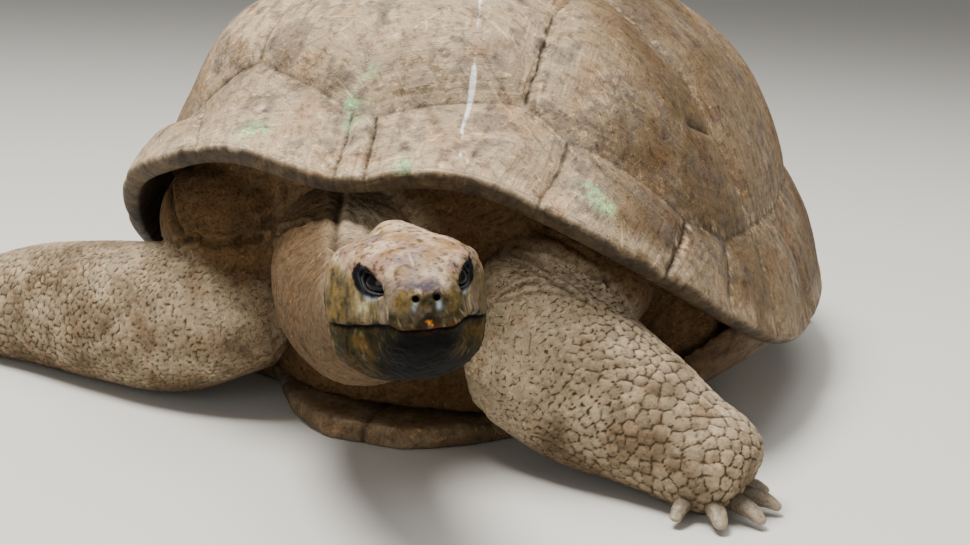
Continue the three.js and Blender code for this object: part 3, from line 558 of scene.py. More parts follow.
def distance_to_line(points, line):
    """Distance from each point to a chain of straight stretches."""
    best = np.full(len(points), np.inf)
    for a, b in zip(line, line[1:]):
        t = np.clip((points - a) @ (b - a) / ((b - a) @ (b - a)), 0, 1)
        best = np.minimum(best, np.linalg.norm(points - a - t[:, None] * (b - a), axis=1))
    return best


def carapace_relief(surface, s, scutes):
    """How far each vertex of the outer face stands above the plain shell, in mm."""
    pillow = scutes.pillow * (1 - scutes.share**2.2)
    seam = scutes.from_seam
    ragged = 0.5 + 0.5 * rough_noise(surface, 9, 31, 3)
    belt = -(2.4 + 1.2 * scutes.open) * bell(seam, 11 + 5 * ragged)
    crack = -2.2 * scutes.open**1.5 * bell(seam, 1.6) * smooth(0.2, 0.7, ragged + scutes.open * 0.4)
    rubble = scutes.crumble * bell(seam - 4, 6) * 1.7 * rough_noise(surface, 6, 41, 3)
    lips = 0.8 * scutes.open**2 * bell(seam - 7, 3.2)
    growth = 0.32 * np.sin(seam / 1.25 + 2.5 * noise(surface, 45, 51))
    growth = growth * np.exp(-seam / 55) * smooth(3, 10, seam)
    waves = (1.7 * noise(surface, 110, 61) + noise(surface, 46, 62)
             + 0.42 * rough_noise(surface, 18, 63, 4))
    dent_line = marks_on_shell(COSTAL_DENT)
    from_dent = distance_to_line(surface, dent_line)
    dent = -3.6 * bell(from_dent, 3.2) - 2.0 * bell(from_dent, 9)
    still_edge = 1 - 0.6 * smooth(0.97, 1, s)
    return PLATE_RISE + pillow + belt + crack + rubble + lips + (growth + waves) * still_edge + dent


def carapace_paint(surface, normals, s, scutes):
    """The colour of each vertex of the outer face."""
    broad = rough_noise(surface, 150, 71, 3)
    middle = rough_noise(surface, 48, 72, 4)
    small = rough_noise(surface, 13, 73, 4)
    # Where the front and top face the light they are painted pale, and the flanks are painted darker: painted
    # light and shade.
    x, y, _ = surface.T
    shaded = 0.30 * smooth(90, 210, x) + 0.22 * smooth(-180, -260, x)
    lit_brim = 0.50 * smooth(0.8, 0.9, s) * smooth(-330, -400, y) * smooth(260, 180, np.abs(x))
    lit = smooth(-0.15, 0.75, normals[:, 2] * 0.55 - normals[:, 1] * 0.55 - np.abs(x + 60) / 520 - y / 800
                 - shaded + lit_brim)
    colour = blend_colours(BROWN_HORN, TAUPE, smooth(-0.55, 0.5, broad + 0.9 * lit - 0.1))
    colour = blend_colours(colour, PALE_HORN,
                           np.clip(0.75 * lit + 0.5 * middle + 0.10 * scutes.tone - 0.02, 0, 0.95))
    plum = smooth(0.08, 0.55, middle * 0.7 + small * 0.7 + 0.04)
    for spot, size in DARK_PATCHES:
        away = np.linalg.norm(surface - marks_on_shell([spot])[0], axis=1)
        plum = np.maximum(plum, bell(away, size) * (0.75 + 0.45 * small))
    colour = blend_colours(colour, PLUM, np.clip(0.62 * plum, 0, 0.8))
    # The edge of the rim is painted paler in patches, most where it faces the light: painted light.
    colour = blend_colours(colour, PALE_HORN * 1.15,
                           0.45 * smooth(0.93, 0.99, s) * smooth(-0.4, 0.5, small + lit))
    seam = scutes.from_seam
    crumbs = smooth(0.05, 0.5, rough_noise(surface, 5, 74, 3)) * scutes.crumble * bell(seam - 4, 4)
    colour = blend_colours(colour, PALE_HORN * 1.35, np.clip(crumbs, 0, 0.8))
    broken = smooth(-0.5, 0.3, rough_noise(surface, 26, 79, 3) + 1.2 * scutes.open - 0.5)
    dirt = (0.06 + 0.9 * scutes.open**1.5) * bell(seam, 1.8) * broken
    dirt += 0.42 * scutes.open * bell(seam, 8) * (0.6 + 0.8 * small)
    colour = blend_colours(colour, DIRT_AND_SHADE, np.clip(dirt, 0, 0.9))
    dent = bell(distance_to_line(surface, marks_on_shell(COSTAL_DENT)), 2.4)
    colour = blend_colours(colour, DIRT_AND_SHADE, 0.75 * dent)
    for spot, size in GREEN_SMUDGES:
        away = np.linalg.norm(surface - marks_on_shell([spot])[0], axis=1)
        patch = bell(away, size) * smooth(-0.2, 0.45, rough_noise(surface, 7, 78, 3))
        colour = blend_colours(colour, ALGAE, np.clip(1.3 * patch, 0, 0.85))
    return colour


def build_carapace():
    """The upper shell: a fine grid over its disc, its rim and an inside lining, with relief and paint."""
    count = SHELL_GRID
    line = np.linspace(-1, 1, count)
    grid = np.stack(np.meshgrid(line, line, indexing="ij"), axis=-1).reshape(-1, 2)
    disc = concentric(grid)
    angle, s = disc_to_shell(disc)
    surface = shell_point(angle, s)
    normals = shell_normal(angle, s)
    scutes = Scutes(disc, surface)
    rise = carapace_relief(surface, s, scutes)
    outer = surface + normals * rise[:, None]

    number = np.arange(count * count).reshape(count, count)
    quads = np.stack([number[:-1, :-1], number[1:, :-1], number[1:, 1:], number[:-1, 1:]],
                     axis=-1).reshape(-1, 4)
    edge = np.concatenate([number[0, :-1], number[:-1, -1], number[-1, :0:-1], number[:0:-1, 0]])
    rim_angle = angle[edge]
    full = np.ones(len(edge))
    rim_normal = normals[edge]
    edge_out = unit(shell_point(rim_angle, full) - shell_point(rim_angle, full * 0.97))
    start = outer[edge]
    end = shell_point(rim_angle, full) - rim_normal * LIP
    rows = []
    for turn in LIP_TURNS:
        down, swell = (1 - math.cos(math.pi * turn)) / 2, LIP_SWELL * math.sin(math.pi * turn)
        rows.append(mix(start, end, down) + edge_out * swell)
    for place in UNDERSIDE:
        depth = mix(WALL_CROWN, WALL_RIM, place) + (LIP - WALL_RIM) * smooth(0.84, 1, place)
        here = shell_point(rim_angle, full * place)
        rough = 0.8 * rough_noise(here, 22, 81, 3) * smooth(0, 0.06, 1 - place)
        rows.append(here - shell_normal(rim_angle, full * place) * (depth + rough)[:, None])
    top = shell_point(np.zeros(1), np.zeros(1)) - [[0, 0, WALL_CROWN]]
    points = np.vstack([outer, *rows, top])
    first = count * count
    previous = edge
    strips = []
    for k in range(len(rows)):
        here = first + k * len(edge) + np.arange(len(edge))
        strips.append(np.stack([previous, np.roll(previous, -1), np.roll(here, -1), here], axis=1))
        previous = here
    fan = np.stack([previous, np.roll(previous, -1), np.full(len(edge), len(points) - 1)], axis=1)
    faces = np.vstack([quads, *strips])
    a, b, c = (points[faces[: len(quads), k]] for k in range(3))
    if (np.cross(b - a, c - a) * normals[faces[: len(quads), 0]]).sum() < 0:
        faces, fan = faces[:, ::-1], fan[:, ::-1]
    piece = make_mesh("shell_upper", points, [faces, fan])
    mesh = piece.data

    inside_rows = len(points) - first
    paint = carapace_paint(surface, normals, s, scutes)
    inner_points = points[first:]
    # The underside is painted dark brown, and down the lip the rim's colour gives way to it: painted shade
    # under the rim.
    underside = blend_colours(np.tile(BROWN_HORN * 0.6, (inside_rows, 1)), DIRT_AND_SHADE * 0.8,
                              smooth(-0.3, 0.5, rough_noise(inner_points, 30, 82, 3)))
    lip_share = np.concatenate([np.repeat(1 - np.array(LIP_TURNS), len(edge)),
                                np.zeros(inside_rows - len(LIP_TURNS) * len(edge))])
    rim_paint = np.vstack([np.tile(paint[edge], (len(rows), 1)), underside[-1:]])
    under_paint = blend_colours(underside, rim_paint,
                                smooth(0.66, 0.97, lip_share + 0.12 * rough_noise(inner_points, 14, 83, 3)))
    store_paint(mesh, np.vstack([paint, under_paint]))

    def with_inside(values, at_top):
        """The outer face's values, with those at its edge carried on round the lip and under it."""
        return np.concatenate([values, np.tile(values[edge], len(rows)), [at_top]])

    seam = with_inside(scutes.from_seam, 60)
    store_number(mesh, "seam", seam)
    store_number(mesh, "crumble", with_inside(scutes.crumble * scutes.open, 0))
    around = with_inside(scutes.spin * (0.2 + scutes.share) * 60, 0)
    store_vector(mesh, "grain", np.stack([seam, around, with_inside(scutes.tone * 400, 0)], axis=1) * MM)
    from_streak = distance_to_line(surface + 1.2 * noise(surface, 14, 75)[:, None],
                                   marks_on_shell(WHITE_STREAK))
    store_number(mesh, "streak", np.concatenate([from_streak, np.full(inside_rows, 99.0)]))

    # Bake map: the outer face is one disc, the lip a ring round it, and the underside a small disc.
    outer_uv = 0.37 + 0.33 * disc
    rim_direction = disc[edge]
    lip_uv = [0.37 + (0.33 + 0.03 * turn) * rim_direction for turn in LIP_TURNS]
    under_centre = np.array([0.87, 0.87])
    under_uv = [under_centre + 0.12 * place * rim_direction for place in UNDERSIDE]
    vertex_uv = np.vstack([outer_uv, *lip_uv, *under_uv, under_centre[None]])
    corners = corner_vertices(mesh)
    corner_uv = vertex_uv[corners]
    crossing_start = (len(quads) + len(LIP_TURNS) * len(edge)) * 4
    crossing = slice(crossing_start, crossing_start + len(edge) * 4)
    on_lip = corners[crossing] < first + len(LIP_TURNS) * len(edge)
    lip_direction = np.tile(rim_direction, (len(rows), 1))[corners[crossing] - first]
    corner_uv[crossing] = np.where(on_lip[:, None], under_centre + 0.12 * lip_direction, corner_uv[crossing])
    store_bake_map(mesh, corner_uv)
    return piece


# ---------- Plastron ----------
def plastron_seam_distance(points):
    """Distance to the plastron's seams: the midline and the cross seams between its plates."""
    x, y = points[:, 0], points[:, 1]
    wander = 5 * noise(points, 60, 91)
    from_midline = np.abs(x + wander)
    cross_seams = [-300, -205, -70, 110, 205, 300]
    bend = 14 * np.cos(x / 110) + 1.2 * wander
    from_cross = np.min([np.abs(y - place + bend) for place in cross_seams], axis=0)
    bridge_seam = np.abs(np.abs(x) - 232 - wander)
    return np.minimum(np.minimum(from_midline, from_cross), bridge_seam)


def dense_copy(name, node, voxel, rounds):
    """A finely divided, softened copy of a CAD node."""
    piece = bpy.data.objects.new(name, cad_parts[node].data.copy())
    bpy.context.scene.collection.objects.link(piece)
    piece.data.materials.clear()
    return remeshed(piece, voxel, rounds)


def remeshed(piece, voxel, rounds):
    """The piece with its mesh rebuilt as one even closed skin, then softened."""
    cover = piece.modifiers.new("even", "REMESH")
    cover.mode = "VOXEL"
    cover.voxel_size = voxel * MM
    graph = bpy.context.evaluated_depsgraph_get()
    mesh = bpy.data.meshes.new_from_object(piece.evaluated_get(graph))
    piece.modifiers.clear()
    old = piece.data
    piece.data = mesh
    bpy.data.meshes.remove(old)
    for layer in [a.name for a in mesh.attributes if not a.is_internal and not a.is_required]:
        mesh.attributes.remove(mesh.attributes[layer])
    points = read_points(mesh)
    points = smoothed(points, read_edges(mesh), rounds, np.full(len(points), 0.6))
    write_points(mesh, points)
    mesh.shade_smooth()
    return piece


def read_edges(mesh):
    edges = np.zeros(len(mesh.edges) * 2, np.int32)
    mesh.edges.foreach_get("vertices", edges)
    return edges.reshape(-1, 2)


def build_plastron():
    """The lower shell, remeshed from the CAD form, with the bridges' ends worn round."""
    piece = dense_copy("shell_lower", "plastron", 4, 3)
    mesh = piece.data
    points = read_points(mesh)
    # The bridges' ends are worn round where the legs pass them.
    ends = np.maximum(bell(points[:, 1] - BRIDGE_FRONT + BRIDGE_BLEND / 2, BRIDGE_BLEND),
                      bell(points[:, 1] - BRIDGE_REAR - BRIDGE_BLEND / 2, BRIDGE_BLEND))
    worn = 0.8 * smooth(0.2, 0.7, ends) * smooth(8, 30, points[:, 2])
    write_points(mesh, smoothed(points, read_edges(mesh), 45, worn))
    points, normals = read_points(mesh), read_normals(mesh)
    seam = plastron_seam_distance(points)
    rise = -1.6 * bell(seam, 4) + 0.7 * noise(points, 70, 92) + 0.3 * rough_noise(points, 16, 93, 3) - 0.4
    lifted = points + normals * rise[:, None]
    lifted[:, 2] = np.maximum(lifted[:, 2], 0)
    write_points(mesh, lifted)
    tone = rough_noise(points, 60, 94, 4)
    colour = blend_colours(np.tile(BROWN_HORN * 0.9, (len(points), 1)), TAUPE, smooth(-0.5, 0.6, tone))
    colour = blend_colours(colour, DIRT_AND_SHADE, np.clip(0.8 * bell(seam, 3) + 0.3 * smooth(0, 0.6, -tone), 0, 0.9))
    # Painted shade inside the front pockets.
    colour = blend_colours(colour, SHADE_BROWN,
                           0.85 * smooth(-110, -210, points[:, 1]) * smooth(20, 60, points[:, 2]))
    store_paint(mesh, colour)
    store_number(mesh, "seam", seam)
    store_number(mesh, "crumble", np.full(len(points), 0.1))
    store_number(mesh, "streak", np.full(len(points), 99.0))
    store_vector(mesh, "grain", np.stack([seam, points[:, 1], points[:, 0] * 0.2], axis=1) * MM)
    up = (normals[:, 2] > 0).astype(float)[corner_vertices(mesh)]
    flat = lifted[corner_vertices(mesh), :2]
    store_bake_map(mesh, np.stack([0.25 + 0.5 * up + flat[:, 0] / 1800, 0.5 + flat[:, 1] / 1800], axis=1))
    return piece


# ---------- Flesh: the CAD source's forms ----------
PLASTRON_FLAT_HALF_WIDTH, PLASTRON_THICKNESS, PLASTRON_WALL = 236, 26, 44
BRIDGE_FRONT, BRIDGE_REAR, BRIDGE_BLEND = -235, 130, 62
SINK_IN, SINK_DOWN = 13, 2
TORSO_WALL = [(0.9, 0.93, 0.97, 0.8), (0.79, 0.87, 0.94, 0.48), (0.69, 0.83, 0.9, 0.22), (0.6, 0.8, 0.86, 0)]
TORSO_BASE = 30
TORSO_TOP = [0.84, 0.74, 0.62, 0.5]
SHOULDERS = [((-178, -350, 205), (104, 88, 84)), ((182, -345, 190), (96, 80, 80))]
HEAD_AT, HEAD_YAW, HEAD_PITCH, HEAD_ROLL = np.array([203.0, -806.0, 268.0]), 31, 9, 4.5
# [y, half width, top, throat, height of the crest along the middle of the crown] in the head's own frame
HEAD_STATIONS = [
    (-84, 9, 6, -12, 0), (-82, 19, 14, -22, 0), (-76, 25, 21, -31, 0), (-65, 29, 28, -40, 0),
    (-52, 32, 36, -47, 0), (-40, 37, 41, -52, 0), (-25, 48, 45, -57, 2), (-5, 57, 46, -60, 6),
    (20, 61, 42, -63, 14), (45, 58, 37, -63, 22), (78, 50, 28, -61, 26),
]
HEAD_SQUARENESS = {"upper": 0.54, "lower": 0.8}
CORNER_EVENING, CREST_WIDTH = 0.12, 26
MOUTH_LINE = profile([(-120, -14), (-82, -13.5), (-74, -11), (-62, -10.5), (-40, -12.5), (-15, -14),
                      (10, -14.5)])
EYE_CENTRE, EYE_RADIUS, EYE_AXIS = np.array([25.0, -38.0, 16.5]), 12.5, unit(np.array([0.73, -0.66, 0.2]))
NOSTRIL, NOSTRIL_RADIUS = np.array([7.6, -81.0, 9.0]), 2.9
TYMPANUM = np.array([59.0, 26.0, -2.0])
BROW, BROW_RADII = (31, -35, 28.5), (11, 16, 7.5)
LIMBS = {
    "neck": [(-30, -250, 225, 105, 88), (-28, -340, 215, 98, 84), (-18, -430, 196, 82, 78),
             (22, -530, 186, 68, 68), (82, -625, 196, 58, 61), (128, -690, 224, 53, 56),
             (160, -742, 252, 50, 53), (178, -768, 262, 48, 50)],
    "foreleg_left": [(106, -392, 134, 34, 52), (124, -394, 134, 52, 78), (165, -404, 132, 61, 92),
                     (232, -416, 101, 58, 87), (298, -424, 77, 54, 71), (345, -430, 57, 55, 57),
                     (376, -436, 47, 56, 51), (398, -441, 40, 46, 41), (408, -443, 36, 28, 27)],
    "foreleg_right": [(-114, -378, 124, 34, 46), (-130, -382, 124, 50, 63), (-175, -392, 117, 60, 74),
                      (-250, -392, 97, 59, 84), (-350, -372, 86, 58, 81), (-450, -345, 74, 58, 73),
                      (-530, -328, 59, 59, 61), (-576, -320, 49, 56, 51), (-600, -316, 42, 44, 40),
                      (-610, -314, 38, 27, 27)],
    "upper_left": [(150, -225, 190, 68, 74), (158, -300, 172, 72, 78), (160, -380, 142, 66, 80)],
    "upper_right": [(-150, -225, 190, 68, 72), (-160, -300, 170, 72, 76), (-168, -375, 135, 66, 76)],
    "hindleg_left": [(190, 205, 200, 76, 70), (222, 272, 160, 78, 72), (250, 330, 110, 70, 68),
                     (262, 362, 50, 63, 63), (264, 368, -20, 62, 62)],
    "hindleg_right": [(-190, 205, 200, 76, 70), (-222, 272, 160, 78, 72), (-250, 330, 110, 70, 68),
                      (-262, 362, 50, 63, 63), (-264, 368, -20, 62, 62)],
    "tail": [(0, 350, 150, 44, 40), (4, 410, 118, 38, 34), (14, 455, 84, 29, 27), (30, 484, 52, 19, 18),
             (44, 496, 26, 9, 9)],
}
LOWER_LIMB_ROUNDNESS = 0.88


def turn_matrix():
    """Turns the head's own frame to the part's frame."""
    yaw, pitch, roll = math.radians(HEAD_YAW), math.radians(-HEAD_PITCH), math.radians(-HEAD_ROLL)
    about_z = np.array([[math.cos(yaw), -math.sin(yaw), 0], [math.sin(yaw), math.cos(yaw), 0], [0, 0, 1]])
    about_x = np.array([[1, 0, 0], [0, math.cos(pitch), -math.sin(pitch)],
                        [0, math.sin(pitch), math.cos(pitch)]])
    about_y = np.array([[math.cos(roll), 0, math.sin(roll)], [0, 1, 0], [-math.sin(roll), 0, math.cos(roll)]])
    return about_z @ about_x @ about_y


HEAD_TURN = turn_matrix()


def from_head(points):
    return points @ HEAD_TURN.T + HEAD_AT


def to_head(points):
    return (points - HEAD_AT) @ HEAD_TURN


def limb_frames(stations, steps, upward):
    """Along a limb: its centres, forward, side and up directions, and half width and height."""
    table = np.array(stations, float)
    shares = np.linspace(0, 1, steps + 1)
    centres = curve_through(table[:, :3], shares)
    eased = 1e-4
    forward = unit(curve_through(table[:, :3], np.minimum(shares + eased, 1))
                   - curve_through(table[:, :3], np.maximum(shares - eased, 0)))
    side = unit(np.cross(forward, upward))
    up = unit(np.cross(side, forward))
    places = np.linspace(0, 1, len(table))
    sizes = profile(np.column_stack([places, table[:, 3:]]))
    return centres, forward, side, up, sizes(shares, 1), sizes(shares, 2)


def upward_of(name):
    return np.array([0.0, 1.0, 0.0]) if name.startswith("hindleg") else np.array([0.0, 0.0, 1.0])


def limb_surface(name, steps=60, sides=64):
    centres, _, side, up, width, height = limb_frames(LIMBS[name], steps, upward_of(name))
    turn = np.linspace(0, 2 * math.pi, sides, endpoint=False)
    roundness = LOWER_LIMB_ROUNDNESS if name.startswith("foreleg") else 1
    across = signed_power(np.cos(turn), roundness)
    along = signed_power(np.sin(turn), roundness)
    return loft(centres[:, None] + side[:, None] * (width[:, None] * across)[..., None]
                + up[:, None] * (height[:, None] * along)[..., None])


def ellipsoid(centre, radii, rings=24, sides=32):
    polar = np.linspace(0.02, math.pi - 0.02, rings)[:, None]
    turn = np.linspace(0, 2 * math.pi, sides, endpoint=False)[None, :]
    ball = np.stack([np.sin(polar) * np.cos(turn), np.sin(polar) * np.sin(turn), np.cos(polar) + 0 * turn],
                    axis=-1)
    return loft(ball * np.array(radii) + np.array(centre))


def head_surface(rows=70, sides=96):
    stations = np.array(HEAD_STATIONS, float)
    y = np.concatenate([[stations[0, 0]], np.linspace(stations[0, 0] + 0.5, stations[-1, 0], rows)])
    shape = profile(HEAD_STATIONS)
    width, top, throat, crest = (shape(y, column)[:, None] for column in (1, 2, 3, 4))
    even = np.linspace(0, 2 * math.pi, sides, endpoint=False)
    turn = even - CORNER_EVENING * np.sin(4 * even)
    squareness = np.where(np.sin(turn) > 0, HEAD_SQUARENESS["upper"], HEAD_SQUARENESS["lower"])
    x = width * signed_power(np.cos(turn), squareness)
    ridge = crest * bell(x, CREST_WIDTH) * smooth(0, 0.5, np.sin(turn))
    z = (top + throat) / 2 + (top - throat) / 2 * signed_power(np.sin(turn), squareness) + ridge
    points, quads, ends = loft(np.stack([x, np.repeat(y[:, None], sides, axis=1), z], axis=-1))
    return from_head(points), quads, ends


def bridge_inside(y, z, rim):
    """How far out the inside of the bridge stands at heights z beside places y along the shell."""
    climb = np.linspace(0, 1, 60)
    order = np.argsort(rim[:, 1])
    rim_x, rim_z = (np.interp(y, rim[order, 1], rim[order, k]) for k in (0, 2))
    over = climb**1.25 * (rim_z[:, None] - SINK_DOWN) + mix(PLASTRON_THICKNESS, PLASTRON_WALL, climb)
    found = np.array([np.interp(height, row, climb) for height, row in zip(z, over)])
    return mix(PLASTRON_FLAT_HALF_WIDTH, rim_x - SINK_IN, found)


def trunk_surface(sides=220):
    """The body inside the shell, as rings that follow the shell's inside."""
    angle = np.linspace(-math.pi, math.pi, sides, endpoint=False) + 1e-3
    left = np.linspace(0.002, math.pi - 0.002, 400)
    rim = shell_point(left, np.ones(400))

    def under_shell(s):
        place = np.full(sides, float(s))
        return shell_point(angle, place) - shell_normal(angle, place) * (mix(WALL_CROWN, WALL_RIM, s) + 0.6)

    edge = under_shell(TORSO_TOP[0])
    rings = []
    for across, front, rear, height in reversed(TORSO_WALL):
        z = mix(TORSO_BASE, edge[:, 2], height)
        stretch = np.where(edge[:, 1] < SHELL_CENTRE_Y, front, rear)
        y = SHELL_CENTRE_Y + (edge[:, 1] - SHELL_CENTRE_Y) * stretch
        bridging = smooth(BRIDGE_FRONT - BRIDGE_BLEND, BRIDGE_FRONT, y) * (
            1 - smooth(BRIDGE_REAR, BRIDGE_REAR + BRIDGE_BLEND, y))
        beside = np.minimum(bridge_inside(y, z, rim) - 5, np.abs(edge[:, 0]) * 0.985)
        x = np.sign(edge[:, 0]) * mix(np.abs(edge[:, 0]) * across, beside, bridging)
        rings.append(np.stack([x, y, z], axis=1))
    rings += [under_shell(s) for s in TORSO_TOP]
    return loft(np.stack(rings))


def joined_surfaces(surfaces):
    """Several surfaces, turned to face out, as one set of points and faces."""
    points, quads, triangles, count = [], [], [], 0
    for surface in surfaces:
        p, q, t = turned_out(*surface)
        points.append(p)
        quads.append(q + count)
        triangles.append(t + count)
        count += len(p)
    return np.vstack(points), [np.vstack(quads), np.vstack(triangles)]


# ---------- Where each vertex of the skin lies ----------
# The head's zone, in its own frame: its limits at the nape and before the snout, and its reach to each side
HEAD_END, BEFORE_SNOUT, HEAD_REACH = 66, -95, 75


def near_the_head(local, end):
    """True for points beside the head, up to its limit towards the neck."""
    return (local[:, 1] < end) & (local[:, 1] > BEFORE_SNOUT) & (np.abs(local[:, 0]) < HEAD_REACH)


class Regions:
    """The limb nearest each vertex, how far along it lies, and its direction round it."""

    NAMES = ["torso", "head", *LIMBS]

    def __init__(self, points):
        total = len(points)
        self.name = np.zeros(total, int)
        self.along = np.zeros(total)
        self.share = np.zeros(total)
        self.turn = np.zeros(total)
        self.radius = np.full(total, 60.0)
        best = np.full(total, 1.28)
        local = to_head(points)
        self.local = local
        for index, name in enumerate(LIMBS, start=2):
            centres, forward, side, up, width, height = limb_frames(LIMBS[name], 70, upward_of(name))
            mean = (width + height) / 2
            place = nearest_sample(centres, points)
            distance = np.linalg.norm(points - centres[place], axis=1) / mean[place]
            wins = distance < best
            offset = points - centres[place]
            ahead = np.einsum("ij,ij->i", offset, forward[place])
            length = np.concatenate([[0], np.cumsum(np.linalg.norm(np.diff(centres, axis=0), axis=1))])
            self.name[wins] = index
            self.along[wins] = (length[place] + ahead)[wins]
            self.share[wins] = (length[place] / length[-1])[wins]
            turn = np.arctan2(np.einsum("ij,ij->i", offset, up[place]),
                              np.einsum("ij,ij->i", offset, side[place]))
            self.turn[wins] = turn[wins]
            self.radius[wins] = mean[place][wins]
            best[wins] = distance[wins]
        on_head = near_the_head(local, HEAD_END) & (np.abs(local[:, 2] + 5) < HEAD_REACH)
        self.name[on_head] = 1
        self.along[on_head] = local[on_head, 1] + 90
        self.turn[on_head] = np.arctan2(local[on_head, 2] + 8, local[on_head, 0])
        self.radius[on_head] = 55

    def among(self, *names):
        return np.isin(self.name, [self.NAMES.index(name) for name in names])


# ---------- Skin: forms of the head ----------
EYE_OPENING = {"half_length": 11.5, "half_height": 5.2, "tilt": 20}
# The bare black skin round each eye
EYE_BOWL = {"half_length": 19.0, "half_height": 10.5, "back": 5.0, "down": 2.0}
# Lines on the animal's left; those on its right are their mirror images. (line, depth, half width)
# Partly from a scratch program that cast spots picked in the photo on to the surface, partly set by hand
HEAD_CREASES = [
    ([(50, -21, -16), (52, -16, -23), (51, -14, -29), (48, -8, -41), (41, 7, -52)], 1.8, 1.3),
    ([(38, -38, -19), (28, -58, -25), (18, -73, -29)], 0.8, 1.4),
    ([(44, -28, -22), (34, -48, -33), (20, -62, -38)], 0.7, 1.6),
    ([(30, -60, 8), (25, -68, 19), (19, -71, 23)], 0.8, 1.2),
    ([(30, -60, 8), (36, -50, -2), (46, -30, -4)], 0.7, 1.3),
    ([(55, -6, 12), (57, 2, -2), (56, 6, -14)], 0.6, 1.6),
]
BROW_EDGE = [(22, -56, 30), (33, -42, 34), (45, -22, 36), (53, 0, 34)]


def eye_axes(side):
    """An eye's centre, its axis, and the directions along and across its sloping opening."""
    flip = np.array([side, 1, 1])
    centre, axis = EYE_CENTRE * flip, EYE_AXIS * flip
    to_snout = np.array([0.0, -1.0, 0.0])
    to_snout = unit(to_snout - axis * (to_snout @ axis))
    rise = np.cross(to_snout, axis) * side
    rise = rise if rise[2] > 0 else -rise
    tilt = math.radians(EYE_OPENING["tilt"])
    along = to_snout * math.cos(tilt) - rise * math.sin(tilt)
    across = to_snout * math.sin(tilt) + rise * math.cos(tilt)
    return centre, axis, along, across


class EyeSpot:
    """Where points lie as seen along an eye's axis: along and across its opening, and ahead of its centre."""

    def __init__(self, local, side):
        centre, self.axis, along, across = eye_axes(side)
        offset = local - centre
        self.ahead, self.u, self.v = offset @ self.axis, offset @ along, offset @ across
        self.out = np.hypot(self.u, self.v)
        self.near = (self.ahead > 0) & (self.out < 30)
        self.beyond_opening = self.past(EYE_OPENING)
        self.beyond_bowl = self.past(EYE_BOWL, EYE_BOWL["back"], EYE_BOWL["down"])

    def past(self, oval, back=0.0, down=0.0):
        """How far outside an oval each point is, in mm; its rear end is the blunter."""
        u, v = self.u + back, self.v + down
        height = oval["half_height"] * (1 - 0.18 * smooth(0, 1, u / oval["half_length"]))
        reach = np.sqrt((u / oval["half_length"]) ** 2 + (v / height) ** 2)
        outside = (reach - 1) * np.hypot(u, v) / np.maximum(reach, 0.2)
        return np.where(self.near, outside, 99)


class HeadMarks:
    """The places on the head that its forms and its colours both use."""

    def __init__(self, local):
        x, y, z = local.T
        self.on = smooth(60, 40, y)
        self.above_mouth = z - MOUTH_LINE(y) + 0.9 * noise(local * [0.2, 1, 0.2], 11, 101)
        self.mouth_on = smooth(13, 5, y) * smooth(-40, -30, z) * self.on
        self.nostril = np.hypot(np.abs(x) - NOSTRIL[0], z - NOSTRIL[2]) + 60 * smooth(-74, -66, y)
        self.eyes = [EyeSpot(local, side) for side in SIDES.values()]
        self.lid = np.min([eye.beyond_opening for eye in self.eyes], axis=0)
        self.below_eye = np.max([
            bell(eye.u - 1, 10) * smooth(-8, -14, eye.v) * smooth(-34, -20, eye.v) * eye.near
            for eye in self.eyes], axis=0)
        self.tympanum = np.linalg.norm((local - TYMPANUM) * [0.2, 1, 0.95], axis=1)
        mirrored = np.linalg.norm((local * [-1, 1, 1] - TYMPANUM) * [0.2, 1, 0.95], axis=1)
        self.tympanum = np.minimum(self.tympanum, mirrored)


